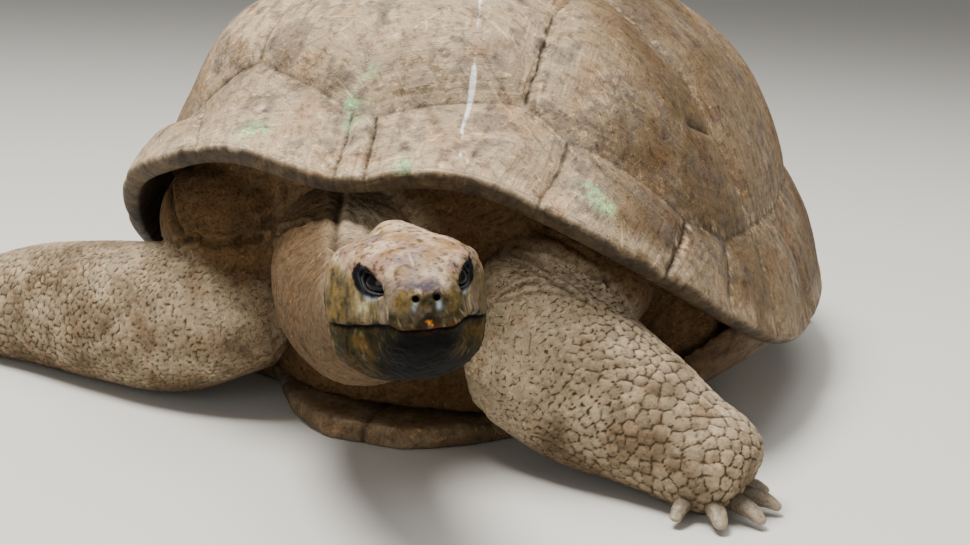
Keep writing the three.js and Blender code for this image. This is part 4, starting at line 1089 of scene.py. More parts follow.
def sculpt_head(local, normals, marks):
    """The head's points moved for lids, mouth, nostrils, brows and creases."""
    x, y, z = local.T
    lip = marks.above_mouth
    rise = -3.4 * bell(lip, 1.2) * marks.mouth_on
    rise += 1.0 * bell(lip - 4.5, 3.4) * marks.mouth_on
    rise += -1.5 * smooth(-18, -8, lip) * smooth(0, -2, lip) * marks.mouth_on
    rise += 1.6 * bell(x, 8) * bell(lip - 2, 4) * smooth(-70, -80, y) * marks.mouth_on
    rise += -6.5 * smooth(NOSTRIL_RADIUS - 0.2, NOSTRIL_RADIUS - 1.6, marks.nostril)
    rise += 0.9 * bell(marks.nostril - NOSTRIL_RADIUS - 1.6, 1.3)
    rise += 1.2 * bell(x, 15) * bell(z - 15, 4) * smooth(-66, -76, y)
    rise += -1.0 * smooth(13, 11, marks.tympanum) + 0.5 * bell(marks.tympanum - 14, 2)
    for side in SIDES.values():
        for line, depth, width in HEAD_CREASES:
            from_crease = distance_to_line(local + 0.8 * noise(local, 7, 106)[:, None],
                                           np.array(line) * [side, 1, 1])
            rise += -depth * bell(from_crease, width) + 0.35 * depth * bell(from_crease - 2.2 * width, width)
        rise += 1.6 * bell(distance_to_line(local, np.array(BROW_EDGE) * [side, 1, 1]), 6)
    # The crown is not quite even: its peak leans to the animal's right, where the temple is fuller.
    rise += 3.5 * bell(np.linalg.norm(local - [-48, 8, 38], axis=1), 16)
    rise += 3.5 * bell(np.linalg.norm(local - [-57, 4, 12], axis=1), 26)
    rise -= 2.5 * bell(np.linalg.norm(local - [48, 8, 38], axis=1), 15)
    rise += 3.0 * bell(np.linalg.norm(local - [-14, 48, 56], axis=1), 14)
    rise -= 3.0 * bell(np.linalg.norm(local - [12, 48, 56], axis=1), 14)
    rise += 0.7 * noise(local, 17, 102) + 0.8 * rough_noise(local, 7, 103, 4) + 0.3 * noise(local, 2.6, 107)
    striation = noise(local * [1, 1, 0.18], 4.2, 104)
    jaw = smooth(-2, -8, lip) * smooth(25, 5, y)
    rise += 0.35 * striation * (jaw + smooth(1, 5, lip) * smooth(24, 12, lip) * smooth(10, -10, y))
    moved = local + normals * (rise * marks.on)[:, None]
    for eye in marks.eyes:
        # Slack folds lie above and below each opening, in a shallow bowl under the brow.
        edge = eye.beyond_opening
        ahead = eye.ahead + (moved - local) @ eye.axis
        hug = np.sqrt(np.maximum((EYE_RADIUS + 1.0) ** 2 - eye.out**2, 16))
        at_opening = np.sqrt(np.maximum((EYE_RADIUS + 1.0) ** 2 - (eye.out - np.maximum(edge, 0)) ** 2, 16))
        slope = mix(0.75, 0.5, smooth(-4, 6, eye.u)) + 0.3 * smooth(2, 8, eye.v)
        hug = np.maximum(hug, np.minimum(ahead, at_opening + slope * np.maximum(edge, 0)))
        folds = 0.3 * np.cos((edge - 1.4) * np.where(eye.v > 0, 2.0, 1.6))
        folds = folds * smooth(8, 4, edge) * smooth(0, 1, edge)
        rim = 1.0 * bell(edge - 0.9, 1.0) * np.where(eye.v > 0, 1.25, 0.9)
        lid = hug + rim + folds + 0.2 * noise(local, 3.2, 105)
        target = mix(hug - 3.4, lid, smooth(-0.6, 0.4, edge))
        share = smooth(9.0, 1.0, eye.beyond_bowl) * smooth(30, 24, eye.out) * eye.near
        moved = moved + (share * (target - ahead))[:, None] * eye.axis
    return moved


# ---------- Skin: scales and wrinkles ----------
# A limb's scales grow from the first size, in mm, where it leaves the shell, to the second at the foot.
PLATE_SIZES = {"foreleg_left": (8, 17), "foreleg_right": (8, 14), "hindleg_left": (9, 14),
               "hindleg_right": (9, 14), "tail": (7, 9), "head": (9, 9)}
# Deep lines in the soft skin: (line, depth, half width)
# Partly from a scratch program that cast spots picked in the photo on to the surface, partly set by hand
SKIN_FOLDS = [
    # round the right shoulder, where it bulges under the shell, and under it
    ([(-258, -384, 262), (-255, -391, 246), (-241, -416, 229), (-223, -429, 208),
      (-214, -432, 197)], 4.0, 4.0),
    ([(-98, -412, 282), (-103, -416, 260), (-119, -417, 232), (-132, -426, 214),
      (-150, -432, 203)], 6.0, 4.0),
    ([(-230, -426, 190), (-211, -432, 197), (-199, -435, 203), (-176, -436, 198), (-149, -432, 201),
      (-127, -425, 208), (-98, -448, 220), (-68, -486, 232), (-34, -510, 247)], 7.0, 3.6),
    ([(-190, -437, 209), (-149, -432, 212), (-114, -420, 222), (-80, -462, 238), (-48, -494, 250)], 2.5, 2.4),
    # down the neck
    ([(-32, -440, 276), (-20, -466, 267), (7, -524, 254), (34, -589, 250), (60, -640, 252)], 4.5, 4.0),
    ([(-16, -440, 286), (-6, -463, 270), (21, -507, 258), (40, -550, 256)], 2.0, 3.0),
    ([(30, -430, 282), (44, -480, 262), (66, -540, 254)], 2.0, 3.0),
    # along the top of the left elbow
    ([(117, -407, 206), (146, -425, 217), (163, -429, 216), (185, -438, 211), (209, -440, 204),
      (225, -441, 197)], 2.4, 1.8),
    ([(128, -430, 204), (156, -438, 210), (178, -442, 209)], 1.4, 1.4),
    ([(142, -453, 176), (156, -451, 191), (173, -449, 201), (190, -444, 206), (205, -442, 204),
      (222, -441, 198)], 2.0, 1.7),
    ([(158, -455, 185), (183, -453, 196), (207, -448, 199), (231, -442, 194), (251, -440, 184)], 1.6, 1.5),
    # puckers in the skin behind the left elbow
    ([(150, -408, 230), (186, -412, 230), (211, -412, 222), (238, -408, 207)], 3.0, 3.0),
    ([(247, -404, 202), (237, -400, 222), (226, -394, 246)], 3.0, 2.6),
    ([(247, -404, 202), (233, -403, 222), (196, -407, 241), (161, -399, 251)], 3.0, 2.6),
    ([(247, -404, 202), (261, -396, 186), (270, -380, 168)], 3.0, 2.6),
    ([(247, -404, 202), (262, -390, 210), (276, -372, 216)], 2.5, 2.4),
]


def scatter_centres(points, size, rng):
    """Spread centres on a surface, each about size away from the next; size is given for each point."""
    steps = np.geomspace(size.min(), size.max(), 4) if np.ptp(size) > 0.5 else np.array([size[0]])
    nearest_step = np.abs(size[:, None] - steps).argmin(axis=1)
    centres = []
    for k, step in enumerate(steps):
        own = points[nearest_step == k]
        own = own[rng.permutation(len(own))]
        _, first = np.unique(np.floor(own / step).astype(int), axis=0, return_index=True)
        centres.append(own[first])
    centres = np.vstack(centres)
    for _ in range(3):
        _, owner = find_nearest(centres, points)
        count = np.maximum(np.bincount(owner, minlength=len(centres)), 1)
        sums = np.stack([np.bincount(owner, points[:, k], len(centres)) for k in range(3)], axis=1)
        centres = sums / count[:, None]
    return centres


def plates(points, regions, skin_share):
    """For each vertex, how far it is from the edge of its horny scale, and a random tone of the scale."""
    rng = np.random.default_rng(7)
    edge = np.ones(len(points))
    tone = np.zeros(len(points))
    for name, size in PLATE_SIZES.items():
        held = np.flatnonzero(regions.among(name) & (skin_share > 0.02))
        if len(held) < 50:
            continue
        near, far = size
        local_size = near + (far - near) * smooth(0.15, 0.75,
                                                  regions.share[held] if name in LIMBS else 0 * held)
        warped = points[held] + 1.4 * np.stack([noise(points[held], 8, 110 + k) for k in range(3)], axis=1)
        centres = scatter_centres(points[held][::2], local_size[::2], rng)
        distances, owners = find_nearest(centres, warped, 2)
        edge[held] = (distances[:, 1] - distances[:, 0]) / local_size
        tone[held] = rng.uniform(-1, 1, len(centres))[owners[:, 0]]
    return edge, tone


def plate_share(points, regions):
    """Where the skin carries horny scales (1) rather than soft wrinkled skin (0)."""
    share = np.zeros(len(points))
    fore = regions.among("foreleg_left", "foreleg_right")
    starts = np.where(regions.among("foreleg_right"), 20, 45)[fore]
    share[fore] = smooth(starts, starts + 55, regions.along[fore] + 25 * noise(points[fore], 40, 120))
    hind = regions.among("hindleg_left", "hindleg_right")
    share[hind] = smooth(110, 190, regions.along[hind])
    share[regions.among("tail")] = 0.7
    on_head = regions.among("head")
    share[on_head] = 0.3 * smooth(60, 30, regions.local[on_head, 1])
    return share


def skin_folds(points):
    """How deep the named folds cut, in mm, and how near each vertex is to one (1 in it)."""
    rise, within = np.zeros(len(points)), np.zeros(len(points))
    wobble = np.stack([noise(points, 22, 138 + k) for k in range(3)], axis=1) * 3.0
    for line, depth, width in SKIN_FOLDS:
        line = np.array(line, float)
        near = np.flatnonzero(((points > line.min(axis=0) - 30)
                               & (points < line.max(axis=0) + 30)).all(axis=1))
        away = distance_to_line(points[near] + wobble[near] * min(1, width / 3), line)
        rise[near] += -depth * bell(away, width) + 0.4 * depth * bell(away - 2.3 * width, 1.2 * width)
        within[near] = np.maximum(within[near], bell(away, width * 0.8) * min(1, depth / 4))
    return rise, within


def wrinkles(points, regions):
    """How far soft skin stands up in folds, in mm."""
    rise = np.zeros(len(points))
    # Rings of slack skin round the neck, deepest at its root and under it.
    neck = regions.among("neck")
    along, turn = regions.along[neck], regions.turn[neck]
    slack = 0.45 + 0.55 * smooth(0.2, -0.8, np.sin(turn))
    wave = along / 27 + 1.1 * noise(points[neck], 70, 130) + 0.35 * np.sin(2 * turn)
    rise[neck] += 3.0 * slack * (np.abs(np.sin(math.pi * wave)) ** 0.6 - 0.7) * smooth(20, 90, along)
    # Fine creases run along the limbs near the elbows and round them at the wrists.
    fore = regions.among("foreleg_left", "foreleg_right", "upper_left", "upper_right")
    along, turn, radius = regions.along[fore], regions.turn[fore], regions.radius[fore]
    lengthwise = np.stack([along / 7, np.cos(turn) * radius, np.sin(turn) * radius], axis=1)
    near_elbow = smooth(190, 60, along)
    creases = -np.abs(noise(lengthwise, 13, 131)) ** 0.7 - 0.6 * np.abs(noise(lengthwise, 6.5, 132)) ** 0.7
    rise[fore] += 2.2 * near_elbow * (creases + 0.7)
    crosswise = np.stack([along, np.cos(turn) * radius / 5, np.sin(turn) * radius / 5], axis=1)
    rise[fore] += 1.1 * (1 - near_elbow) * (0.3 - np.abs(noise(crosswise, 17, 133)))
    # The skin inside the shell hangs in long folds and fine puckers.
    hanging = regions.among("torso", "upper_left", "upper_right")
    spot = points[hanging]
    drape = spot * [1, 1, 0.3]
    rise[hanging] += 5.5 * (0.35 - np.abs(noise(drape, 46, 134)) ** 0.8)
    rise[hanging] += 2.6 * (0.35 - np.abs(noise(drape, 19, 135)) ** 0.8)
    soft = ~regions.among("head")
    rise[soft] += 0.7 * rough_noise(points[soft], 11, 136, 3) + 1.2 * noise(points[soft], 38, 137)
    return rise


# ---------- Skin: colours ----------
SKIN = np.array([0.255, 0.192, 0.125])
SKIN_PALE = np.array([0.41, 0.33, 0.225])
SKIN_DARK = np.array([0.07, 0.047, 0.025])
SHADE_BROWN = np.array([0.078, 0.042, 0.016])
HEAD_SAND = np.array([0.58, 0.44, 0.29])
HEAD_PINK = np.array([0.33, 0.205, 0.145])
HEAD_SLATE = np.array([0.17, 0.15, 0.155])
NOSE_PLUM = np.array([0.075, 0.06, 0.078])
OCHRE = np.array([0.24, 0.135, 0.03])
CHEEK_BROWN = np.array([0.13, 0.082, 0.035])
OLIVE = np.array([0.040, 0.035, 0.012])
JAW_DARK = np.array([0.0030, 0.0028, 0.0010])
JAW_SIDE = np.array([0.034, 0.027, 0.010])
STRAW = np.array([0.47, 0.41, 0.23])
LID_BLACK = np.array([0.004, 0.004, 0.005])
LID_GREY = np.array([0.12, 0.13, 0.15])
BLUE_WHITE = np.array([0.42, 0.50, 0.58])
ORANGE = np.array([0.62, 0.20, 0.02])
RUST = np.array([0.20, 0.075, 0.02])


def feathered(values, edges, steps=28):
    """Values on a mesh's vertices, their borders softened over a few centimetres."""
    return smoothed(values[:, None], edges, steps, np.ones(len(values)))[:, 0]


def body_paint(points, normals, edges, regions, edge, tone, share, within):
    """The colour of the skin without the head: scales, soft skin, and painted light and shade."""
    middle = rough_noise(points, 34, 140, 4)
    small = rough_noise(points, 9, 141, 3)
    colour = blend_colours(np.tile(SKIN, (len(points), 1)), SKIN_PALE,
                           smooth(-0.35, 0.7, middle + 0.3 * small))
    # Upper sides are painted paler and undersides darker: painted light and shade.
    colour = blend_colours(colour, SKIN_PALE, 0.45 * smooth(0.1, 0.9, normals[:, 2]) * share)
    colour = blend_colours(colour, SKIN_DARK, 0.5 * smooth(0.1, 0.7, -middle + 0.4 * small))
    colour = blend_colours(colour, SKIN_DARK, 0.5 * smooth(-0.1, -0.8, normals[:, 2]))
    colour = colour * (1 + 0.16 * tone * share)[:, None]
    colour = blend_colours(colour, SKIN_DARK, np.clip(0.8 * share * smooth(0.14, 0.0, edge), 0, 1))
    # The skin under the shell, under the neck and at the legs' roots is painted deep brown: its own browner
    # colour and painted shade, but for the lit column of the neck.
    x, y, _ = points.T
    shade_share = regions.among("torso", "upper_left", "upper_right") * 1.0
    beside_column = smooth(-6, 10, -(x + 22 + 0.44 * (y + 466)))
    neck = regions.among("neck")
    low = smooth(0.55, -0.1, normals[:, 2] + 0.2 * middle)
    shade_share = np.maximum(shade_share, neck * np.maximum(0.10 + 0.75 * beside_column, 0.8 * low))
    shade_share = np.maximum(shade_share, neck * 0.7 * smooth(-430, -390, y))
    for leg in ("foreleg_left", "foreleg_right"):
        shade_share = np.maximum(shade_share,
                               regions.among(leg) * 0.55 * smooth(60, 15, regions.along + 14 * middle))
    shade_share = feathered(shade_share, edges)
    colour = blend_colours(colour, SHADE_BROWN, np.clip(0.95 * shade_share * (1 + 0.2 * middle), 0, 0.97))
    # The neck's column and the top of the left foreleg, where the rim shades them, are painted paler: painted
    # light.
    painted_light = 0.8 * neck * (1 - beside_column) * smooth(-545, -500, y) * smooth(-430, -460, y)
    painted_light = np.maximum(painted_light, regions.among("foreleg_left") * smooth(150, 60, regions.along))
    painted_light = feathered(painted_light, edges) * (1 - shade_share)
    colour = blend_colours(colour, SKIN_PALE * 1.35, np.clip(0.75 * painted_light * (1 + 0.5 * middle), 0, 0.9))
    # Deep folds are painted dark: painted shade in the creases.
    return blend_colours(colour, SKIN_DARK * 0.5, np.clip(0.85 * within, 0, 1))


def head_paint(local, normals, marks, tone):
    """The colour of the head, in its own frame."""
    x, y, z = local.T
    lip = marks.above_mouth
    broad = rough_noise(local, 30, 149, 3)
    middle = rough_noise(local, 18, 150, 4)
    small = rough_noise(local, 6, 151, 4)
    fleck = rough_noise(local, 2.6, 152, 3)
    streaks = (0.65 * rough_noise(local * [1, 1, 0.42], 7, 153, 3)
               + 0.35 * noise(local * [1, 1, 0.3], 2.4, 157))
    # The crown: sandy and pink, with slate blotches and ochre stains.
    colour = blend_colours(np.tile(HEAD_SAND, (len(local), 1)), HEAD_PINK,
                           smooth(-0.35, 0.45, middle + 0.35 * small))
    slate = smooth(0.02, 0.42, rough_noise(local, 15, 154, 3) + 0.3 * fleck)
    colour = blend_colours(colour, HEAD_SLATE, 0.75 * slate * smooth(52, 20, y))
    ochre = smooth(0.08, 0.5, rough_noise(local, 13, 155, 3) + 0.2 * small)
    colour = blend_colours(colour, OCHRE * 1.2, 0.62 * ochre)
    colour = blend_colours(colour, CHEEK_BROWN, 0.7 * smooth(0.0, 0.5, 0.6 * small + 0.8 * fleck - 0.1))
    snout = bell(x, 16) * smooth(-32, -50, y) * smooth(8, 16, z)
    colour = blend_colours(colour, HEAD_SLATE * 1.45, 0.6 * snout * smooth(-0.7, 0.3, small))
    colour = colour * (1 - 0.5 * smooth(0.05, 0.5, 0.5 * small + 0.9 * fleck))[:, None]
    parting = bell(x + 5 + 0.8 * small, 0.6) * smooth(22, 24, z) * smooth(-46, -50, y) * smooth(-62, -58, y)
    colour = blend_colours(colour, HEAD_SAND * 1.7, 0.6 * parting)
    nose = bell(x + 3, 20) * bell(z - 17.0, 4.8) * smooth(-62, -70, y)
    colour = blend_colours(colour, NOSE_PLUM, 0.95 * nose * smooth(-0.9, 0.0, small))
    # The cheeks: ochre, olive and dull pink in upright streaks, darker towards the jaw.
    side_on = smooth(0.1, 0.55, np.abs(normals[:, 0]) + 0.5 * smooth(-44, -74, y) * smooth(16, 6, z))
    cheek = side_on * smooth(34, 14, z + 8 * middle) * smooth(44, 10, y)
    cheek_tone = blend_colours(np.tile(CHEEK_BROWN, (len(local), 1)), OCHRE,
                               smooth(-0.2, 0.5, streaks + 0.4 * middle))
    cheek_tone = blend_colours(cheek_tone, HEAD_PINK * 0.8, 0.7 * smooth(0.1, 0.5, broad - 0.3 * streaks))
    cheek_tone = blend_colours(cheek_tone, OLIVE, 0.85 * smooth(0.0, 0.5, small * 0.7 - streaks * 0.6 + 0.02))
    flecked = 1 - 0.35 * smooth(0.0, 0.5, 0.5 * small + 0.8 * fleck)
    cheek_tone = cheek_tone * [0.80, 0.95, 1.10] * flecked[:, None]
    colour = colour + (cheek_tone - colour) * (0.92 * cheek)[:, None]
    colour = blend_colours(colour, OLIVE * 0.7,
                           0.75 * smooth(14, 0, lip) * side_on * smooth(-0.5, 0.4, small - streaks * 0.5))
    pale = marks.below_eye * smooth(-0.35, 0.3, streaks + 0.4 * small)
    colour = blend_colours(colour, STRAW, np.clip(0.9 * pale, 0, 1))
    whiskers = smooth(0.15, 0.5,
                      noise((local + np.stack([0.5 * z, 0 * z, 0 * z], axis=1)) * [1, 1, 0.2], 2.6, 158))
    muzzle = smooth(-64, -72, y) * smooth(17, 9, lip) * smooth(6, 14, np.abs(x))
    colour = blend_colours(colour, OLIVE * 0.5, 0.7 * muzzle)
    front = bell(x, 22) * smooth(-64, -74, y) * smooth(14, 8, z) * smooth(0, 2, lip)
    colour = blend_colours(colour, OLIVE * 0.6, 0.55 * front * smooth(-0.6, 0.3, small))
    colour = blend_colours(colour, STRAW * 0.8, 0.65 * muzzle * whiskers)
    colour = blend_colours(colour, OLIVE * 1.1, 0.55 * smooth(14, 40, y) * smooth(24, -6, z))
    # The jaw: nearly black under the beak, olive-brown and finely striped at its sides. It and the head's
    # underside are painted darker still, most towards the bottom: painted shade.
    under = smooth(0.6, -2.0, lip) * smooth(28, 4, y)
    under = np.maximum(under, 0.85 * smooth(-24, -40, z) * smooth(58, 34, y))
    aside = smooth(14, 46, np.abs(x) + 9 * middle)
    jaw_tone = blend_colours(np.tile(JAW_DARK, (len(local), 1)), JAW_SIDE,
                             aside * smooth(-0.6, 0.4, streaks + 0.4))
    jaw_tone = blend_colours(jaw_tone, STRAW * 0.4, 0.5 * aside * smooth(0.25, 0.6, streaks + 0.3 * fleck))
    jaw_tone = blend_colours(jaw_tone, OCHRE * 0.5, 0.6 * aside * smooth(0.1, 0.5, middle))
    # Painted shade: darker towards the bottom.
    jaw_tone = jaw_tone * (1 - 0.55 * smooth(-22, -52, z))[:, None]
    colour = colour + (jaw_tone - colour) * under[:, None]
    rim = bell(lip - 2, 3.4) * bell(x - 4, 18) * marks.mouth_on * smooth(-60, -74, y)
    colour = blend_colours(colour, RUST, np.clip(0.9 * rim * smooth(-0.6, 0.2, small + 0.2), 0, 1))
    beak = bell(x, 14) * smooth(-66, -75, y) * bell(lip - 6.5, 8)
    colour = blend_colours(colour, JAW_DARK * 2.2, np.clip(0.95 * beak * smooth(-0.9, 0.0, small), 0, 1))
    tip = smooth(2.7, 1.4, np.hypot(x - 1 + 2 * small, lip - 5 + 2 * fleck)) * smooth(-70, -78, y)
    colour = blend_colours(colour, ORANGE, np.clip(tip * (0.85 + 0.6 * fleck), 0, 1))
    # The slit of the mouth is painted black: painted shade.
    colour = blend_colours(colour, LID_BLACK,
                           np.clip(1.2 * bell(lip, 1.9 + 1.1 * small) * marks.mouth_on, 0, 1))
    below_nostril = np.hypot(np.abs(x) - NOSTRIL[0] - 1.0, (z - NOSTRIL[2] + 5.8) * 0.7)
    below_nostril = bell(below_nostril, 1.9) * smooth(-66, -74, y)
    colour = blend_colours(colour, BLUE_WHITE,
                           np.clip(1.0 * below_nostril * smooth(-0.5, 0.2, small), 0, 0.9))
    # The nostrils' holes are painted black: painted shade.
    colour = blend_colours(colour, LID_BLACK,
                           smooth(NOSTRIL_RADIUS + 0.2, NOSTRIL_RADIUS - 0.8, marks.nostril))
    for eye in marks.eyes:
        colour = blend_colours(colour, LID_BLACK, smooth(1.2, -1.4, eye.beyond_bowl + 1.6 * small) * eye.near)
        fold_line = bell(eye.beyond_opening - 4.6 - 0.5 * noise(local, 6, 159), 0.7)
        fold_line = fold_line * smooth(-0.3, 0.4, small + 0.2)
        margin = bell(eye.beyond_opening - 1.0, 0.55) * smooth(3, -2, eye.v)
        grey = np.clip(0.6 * margin + 0.3 * fold_line, 0, 1) * eye.near
        colour = blend_colours(colour, LID_GREY, grey)
        crescent = bell(eye.beyond_bowl - 0.3, 1.8) * smooth(-4, -8, eye.v) * bell(eye.u - 5, 8)
        colour = blend_colours(colour, BLUE_WHITE, np.clip(0.8 * crescent * (0.8 + 0.5 * small), 0, 1))
    return colour * (1 + 0.06 * tone + 0.25 * fleck + 0.16 * small)[:, None]


# ---------- Skin ----------
SKIN_VOXEL = 2.7
BAKE_TILES = {  # left, bottom, width and height of each region's share of the bake map
    "head": (0.01, 0.52, 0.40, 0.47), "neck": (0.42, 0.52, 0.28, 0.47), "torso": (0.01, 0.01, 0.40, 0.49),
    "foreleg_left": (0.42, 0.26, 0.28, 0.24), "foreleg_right": (0.42, 0.01, 0.28, 0.24),
    "hindleg_left": (0.72, 0.68, 0.27, 0.31), "hindleg_right": (0.72, 0.36, 0.27, 0.31),
    "upper_left": (0.72, 0.18, 0.13, 0.16), "upper_right": (0.86, 0.18, 0.13, 0.16),
    "tail": (0.72, 0.01, 0.27, 0.15),
}
BAKE_LENGTH = {"head": 190, "neck": 640, "foreleg_left": 380, "foreleg_right": 560, "hindleg_left": 330,
               "hindleg_right": 330, "upper_left": 220, "upper_right": 220, "tail": 210}


def divide_finely(piece, chosen):
    """Splits each edge between two chosen vertices once."""
    mesh = piece.data
    work = bmesh.new()
    work.from_mesh(mesh)
    work.verts.ensure_lookup_table()
    edges = [edge for edge in work.edges if chosen[edge.verts[0].index] and chosen[edge.verts[1].index]]
    bmesh.ops.subdivide_edges(work, edges=edges, cuts=1, use_grid_fill=True)
    work.to_mesh(mesh)
    work.free()
    mesh.shade_smooth()


def skin_bake_map(mesh, points, regions):
    """Each region is unwrapped round its own limb, and lies on its own tile."""
    corners = corner_vertices(mesh)
    starts = np.zeros(len(mesh.polygons), np.int32)
    mesh.polygons.foreach_get("loop_start", starts)
    sizes = np.zeros(len(mesh.polygons), np.int32)
    mesh.polygons.foreach_get("loop_total", sizes)
    face_region = np.repeat(regions.name[corners[starts]], sizes)
    first_turn = np.repeat(regions.turn[corners[starts]], sizes)
    turn = regions.turn[corners]
    turn = first_turn + (turn - first_turn + math.pi) % (2 * math.pi) - math.pi
    uv = np.zeros((len(corners), 2))
    middle = np.array([0, -60, 110])
    away = points - middle
    azimuth = np.arctan2(away[:, 0], -away[:, 1])[corners]
    first_azimuth = np.arctan2(away[:, 0], -away[:, 1])[np.repeat(corners[starts], sizes)]
    azimuth = first_azimuth + (azimuth - first_azimuth + math.pi) % (2 * math.pi) - math.pi
    elevation = np.arctan2(away[:, 2], np.hypot(away[:, 0], away[:, 1]))[corners]
    for index, name in enumerate(Regions.NAMES):
        held = face_region == index
        left, bottom, width, height = BAKE_TILES[name]
        if name == "torso":
            u, v = azimuth[held] / (2 * math.pi) + 0.5, elevation[held] / math.pi + 0.5
        else:
            u = turn[held] / (2 * math.pi) + 0.5
            v = np.clip(regions.along[corners][held] / BAKE_LENGTH[name], -0.02, 1.02)
        uv[held] = np.stack([left + width * np.clip(u, -0.03, 1.03), bottom + height * v], axis=1)
    store_bake_map(mesh, uv)


def build_skin():
    """Trunk, neck, head, legs and tail as one skin, remeshed, finely divided at the head and painted."""
    flip = np.array([-1, 1, 1])
    brows = [ellipsoid(np.array(BROW) * flip**k, BROW_RADII) for k in (0, 1)]
    brows = [(from_head(points), quads, ends) for points, quads, ends in brows]
    surfaces = [trunk_surface(), head_surface(), *brows]
    surfaces += [ellipsoid(centre, radii) for centre, radii in SHOULDERS]
    surfaces += [limb_surface(name) for name in LIMBS]
    points, faces = joined_surfaces(surfaces)
    points[:, 2] = np.maximum(points[:, 2], 0.3)
    piece = make_mesh("skin", points, faces)
    piece = remeshed(piece, SKIN_VOXEL, 0)
    mesh = piece.data

    points = read_points(mesh)
    local = to_head(points)
    head_zone = near_the_head(local, 40)
    edges = read_edges(mesh)
    points = smoothed(points, edges, 9, np.where(head_zone, 0.3, 0.6))
    write_points(mesh, points)
    divide_finely(piece, head_zone)
    local = to_head(read_points(mesh))
    marks = HeadMarks(local)
    delicate = ((marks.lid < 13) | (marks.nostril < 9)
                | ((np.abs(marks.above_mouth) < 5) & (marks.mouth_on > 0.1)))
    delicate &= near_the_head(local, 20) & (local[:, 2] > -50)
    divide_finely(piece, delicate)
    points = read_points(mesh)
    local = to_head(points)
    head_zone = near_the_head(local, 40)
    edges = read_edges(mesh)
    points = smoothed(points, edges, 6, np.where(head_zone, 0.5, 0.0))
    write_points(mesh, points)

    normals = read_normals(mesh)
    regions = Regions(points)
    share = plate_share(points, regions)
    edge, tone = plates(points, regions, share)
    on_head = regions.among("head")
    plate_height = np.where(on_head, 0.5, 1.5)
    rings = 0.22 * np.cos(edge * 24) * smooth(0.1, 0.3, edge) * smooth(0.4, 0.8, regions.share) * ~on_head
    rise = share * (plate_height * (smooth(0, 0.2, edge) + 0.35 * smooth(0.1, 0.9, edge) - 0.9) + rings)
    folds, within = skin_folds(points)
    rise += (1 - share) * wrinkles(points, regions) + folds
    points = points + normals * (rise * np.where(on_head, 0.7, 1))[:, None]
    near_head = (regions.local[:, 1] < HEAD_END) & (regions.local[:, 1] > BEFORE_SNOUT)
    near_head = np.flatnonzero(on_head | near_head)
    local = to_head(points[near_head])
    held = np.linalg.norm(local * [1, 0, 1], axis=1) < 90
    near_head, local = near_head[held], local[held]
    marks = HeadMarks(local)
    moved = sculpt_head(local, normals[near_head] @ HEAD_TURN, marks)
    points[near_head] = from_head(moved)
    points[:, 2] = np.maximum(points[:, 2], 0)
    write_points(mesh, points)
    normals = read_normals(mesh)

    colour = body_paint(points, normals, edges, regions, edge, tone, share, within)
    painted = head_paint(local, normals[near_head] @ HEAD_TURN, marks, tone[near_head])
    fade = marks.on * smooth(62, 30, local[:, 1])
    colour[near_head] = colour[near_head] + (painted - colour[near_head]) * fade[:, None]
    store_paint(mesh, colour)
    store_number(mesh, "plate", np.where(on_head | (share < 0.05), 1, edge))
    store_number(mesh, "fine", ~on_head * (1 - 0.6 * share))
    wet = np.zeros(len(points))
    wet[near_head] = smooth(3.0, 1.0, marks.lid)
    store_number(mesh, "wet", wet)
    skin_bake_map(mesh, points, regions)
    return piece


# ---------- Eyes and claws ----------
def build_eye(side_name, side):
    """The ball of an eye, with a slightly bulged cornea."""
    centre, axis, along, across = eye_axes(side)
    rings, sides = 40, 56
    polar = np.linspace(0.01, math.pi - 0.01, rings)[:, None]
    turn = np.linspace(0, 2 * math.pi, sides, endpoint=False)[None, :]
    radius = EYE_RADIUS * (0.985 + 0.05 * bell(polar, 0.55))
    ahead = radius * np.cos(polar) + 0 * turn
    ball = (ahead[..., None] * axis + (radius * np.sin(polar) * np.cos(turn))[..., None] * along
            + (radius * np.sin(polar) * np.sin(turn))[..., None] * across) + centre
    points, quads, ends = turned_out(*loft(ball - centre))
    piece = make_mesh(f"eyeball_{side_name}", from_head(points + centre), [quads, ends])
    off_axis = np.arccos(np.clip(unit(points) @ axis, -1, 1))
    store_number(piece.data, "off_axis", off_axis)
    place = np.stack([points @ along, points @ across], axis=1) / (EYE_RADIUS * 4.4)
    back = (points @ axis < 0)[:, None] * [0.5, 0]
    store_bake_map(piece.data, (place + [0.25, 0.5] + back)[corner_vertices(piece.data)])
    return piece


CLAW = {"length": 33, "half_width": 10.5, "half_height": 9}
FEET = {
    "front_left": {"at": (362, -433), "heading": -28, "count": 5, "spread": 136, "radius": 47},
    "front_right": {"at": (-562, -323), "heading": -168, "count": 5, "spread": 136, "radius": 47},
    "hind_left": {"at": (264, 368), "heading": -28, "count": 4, "spread": 105, "radius": 56},
    "hind_right": {"at": (-264, 368), "heading": -152, "count": 4, "spread": 105, "radius": 56},
}
CLAW_ROOT_HEIGHT = 18
CLAW_STEPS, CLAW_SIDES = 34, 40
# (share of the length, drop, width and height as shares)
CLAW_SHAPE = [(-0.48, -2, 1, 1), (0, 0, 1, 1), (0.25, 1.2, 0.97, 0.94), (0.5, 2.8, 0.9, 0.83),
              (0.8, 7, 0.74, 0.6), (0.95, 9.6, 0.54, 0.42), (1, 10.5, 0.34, 0.27)]


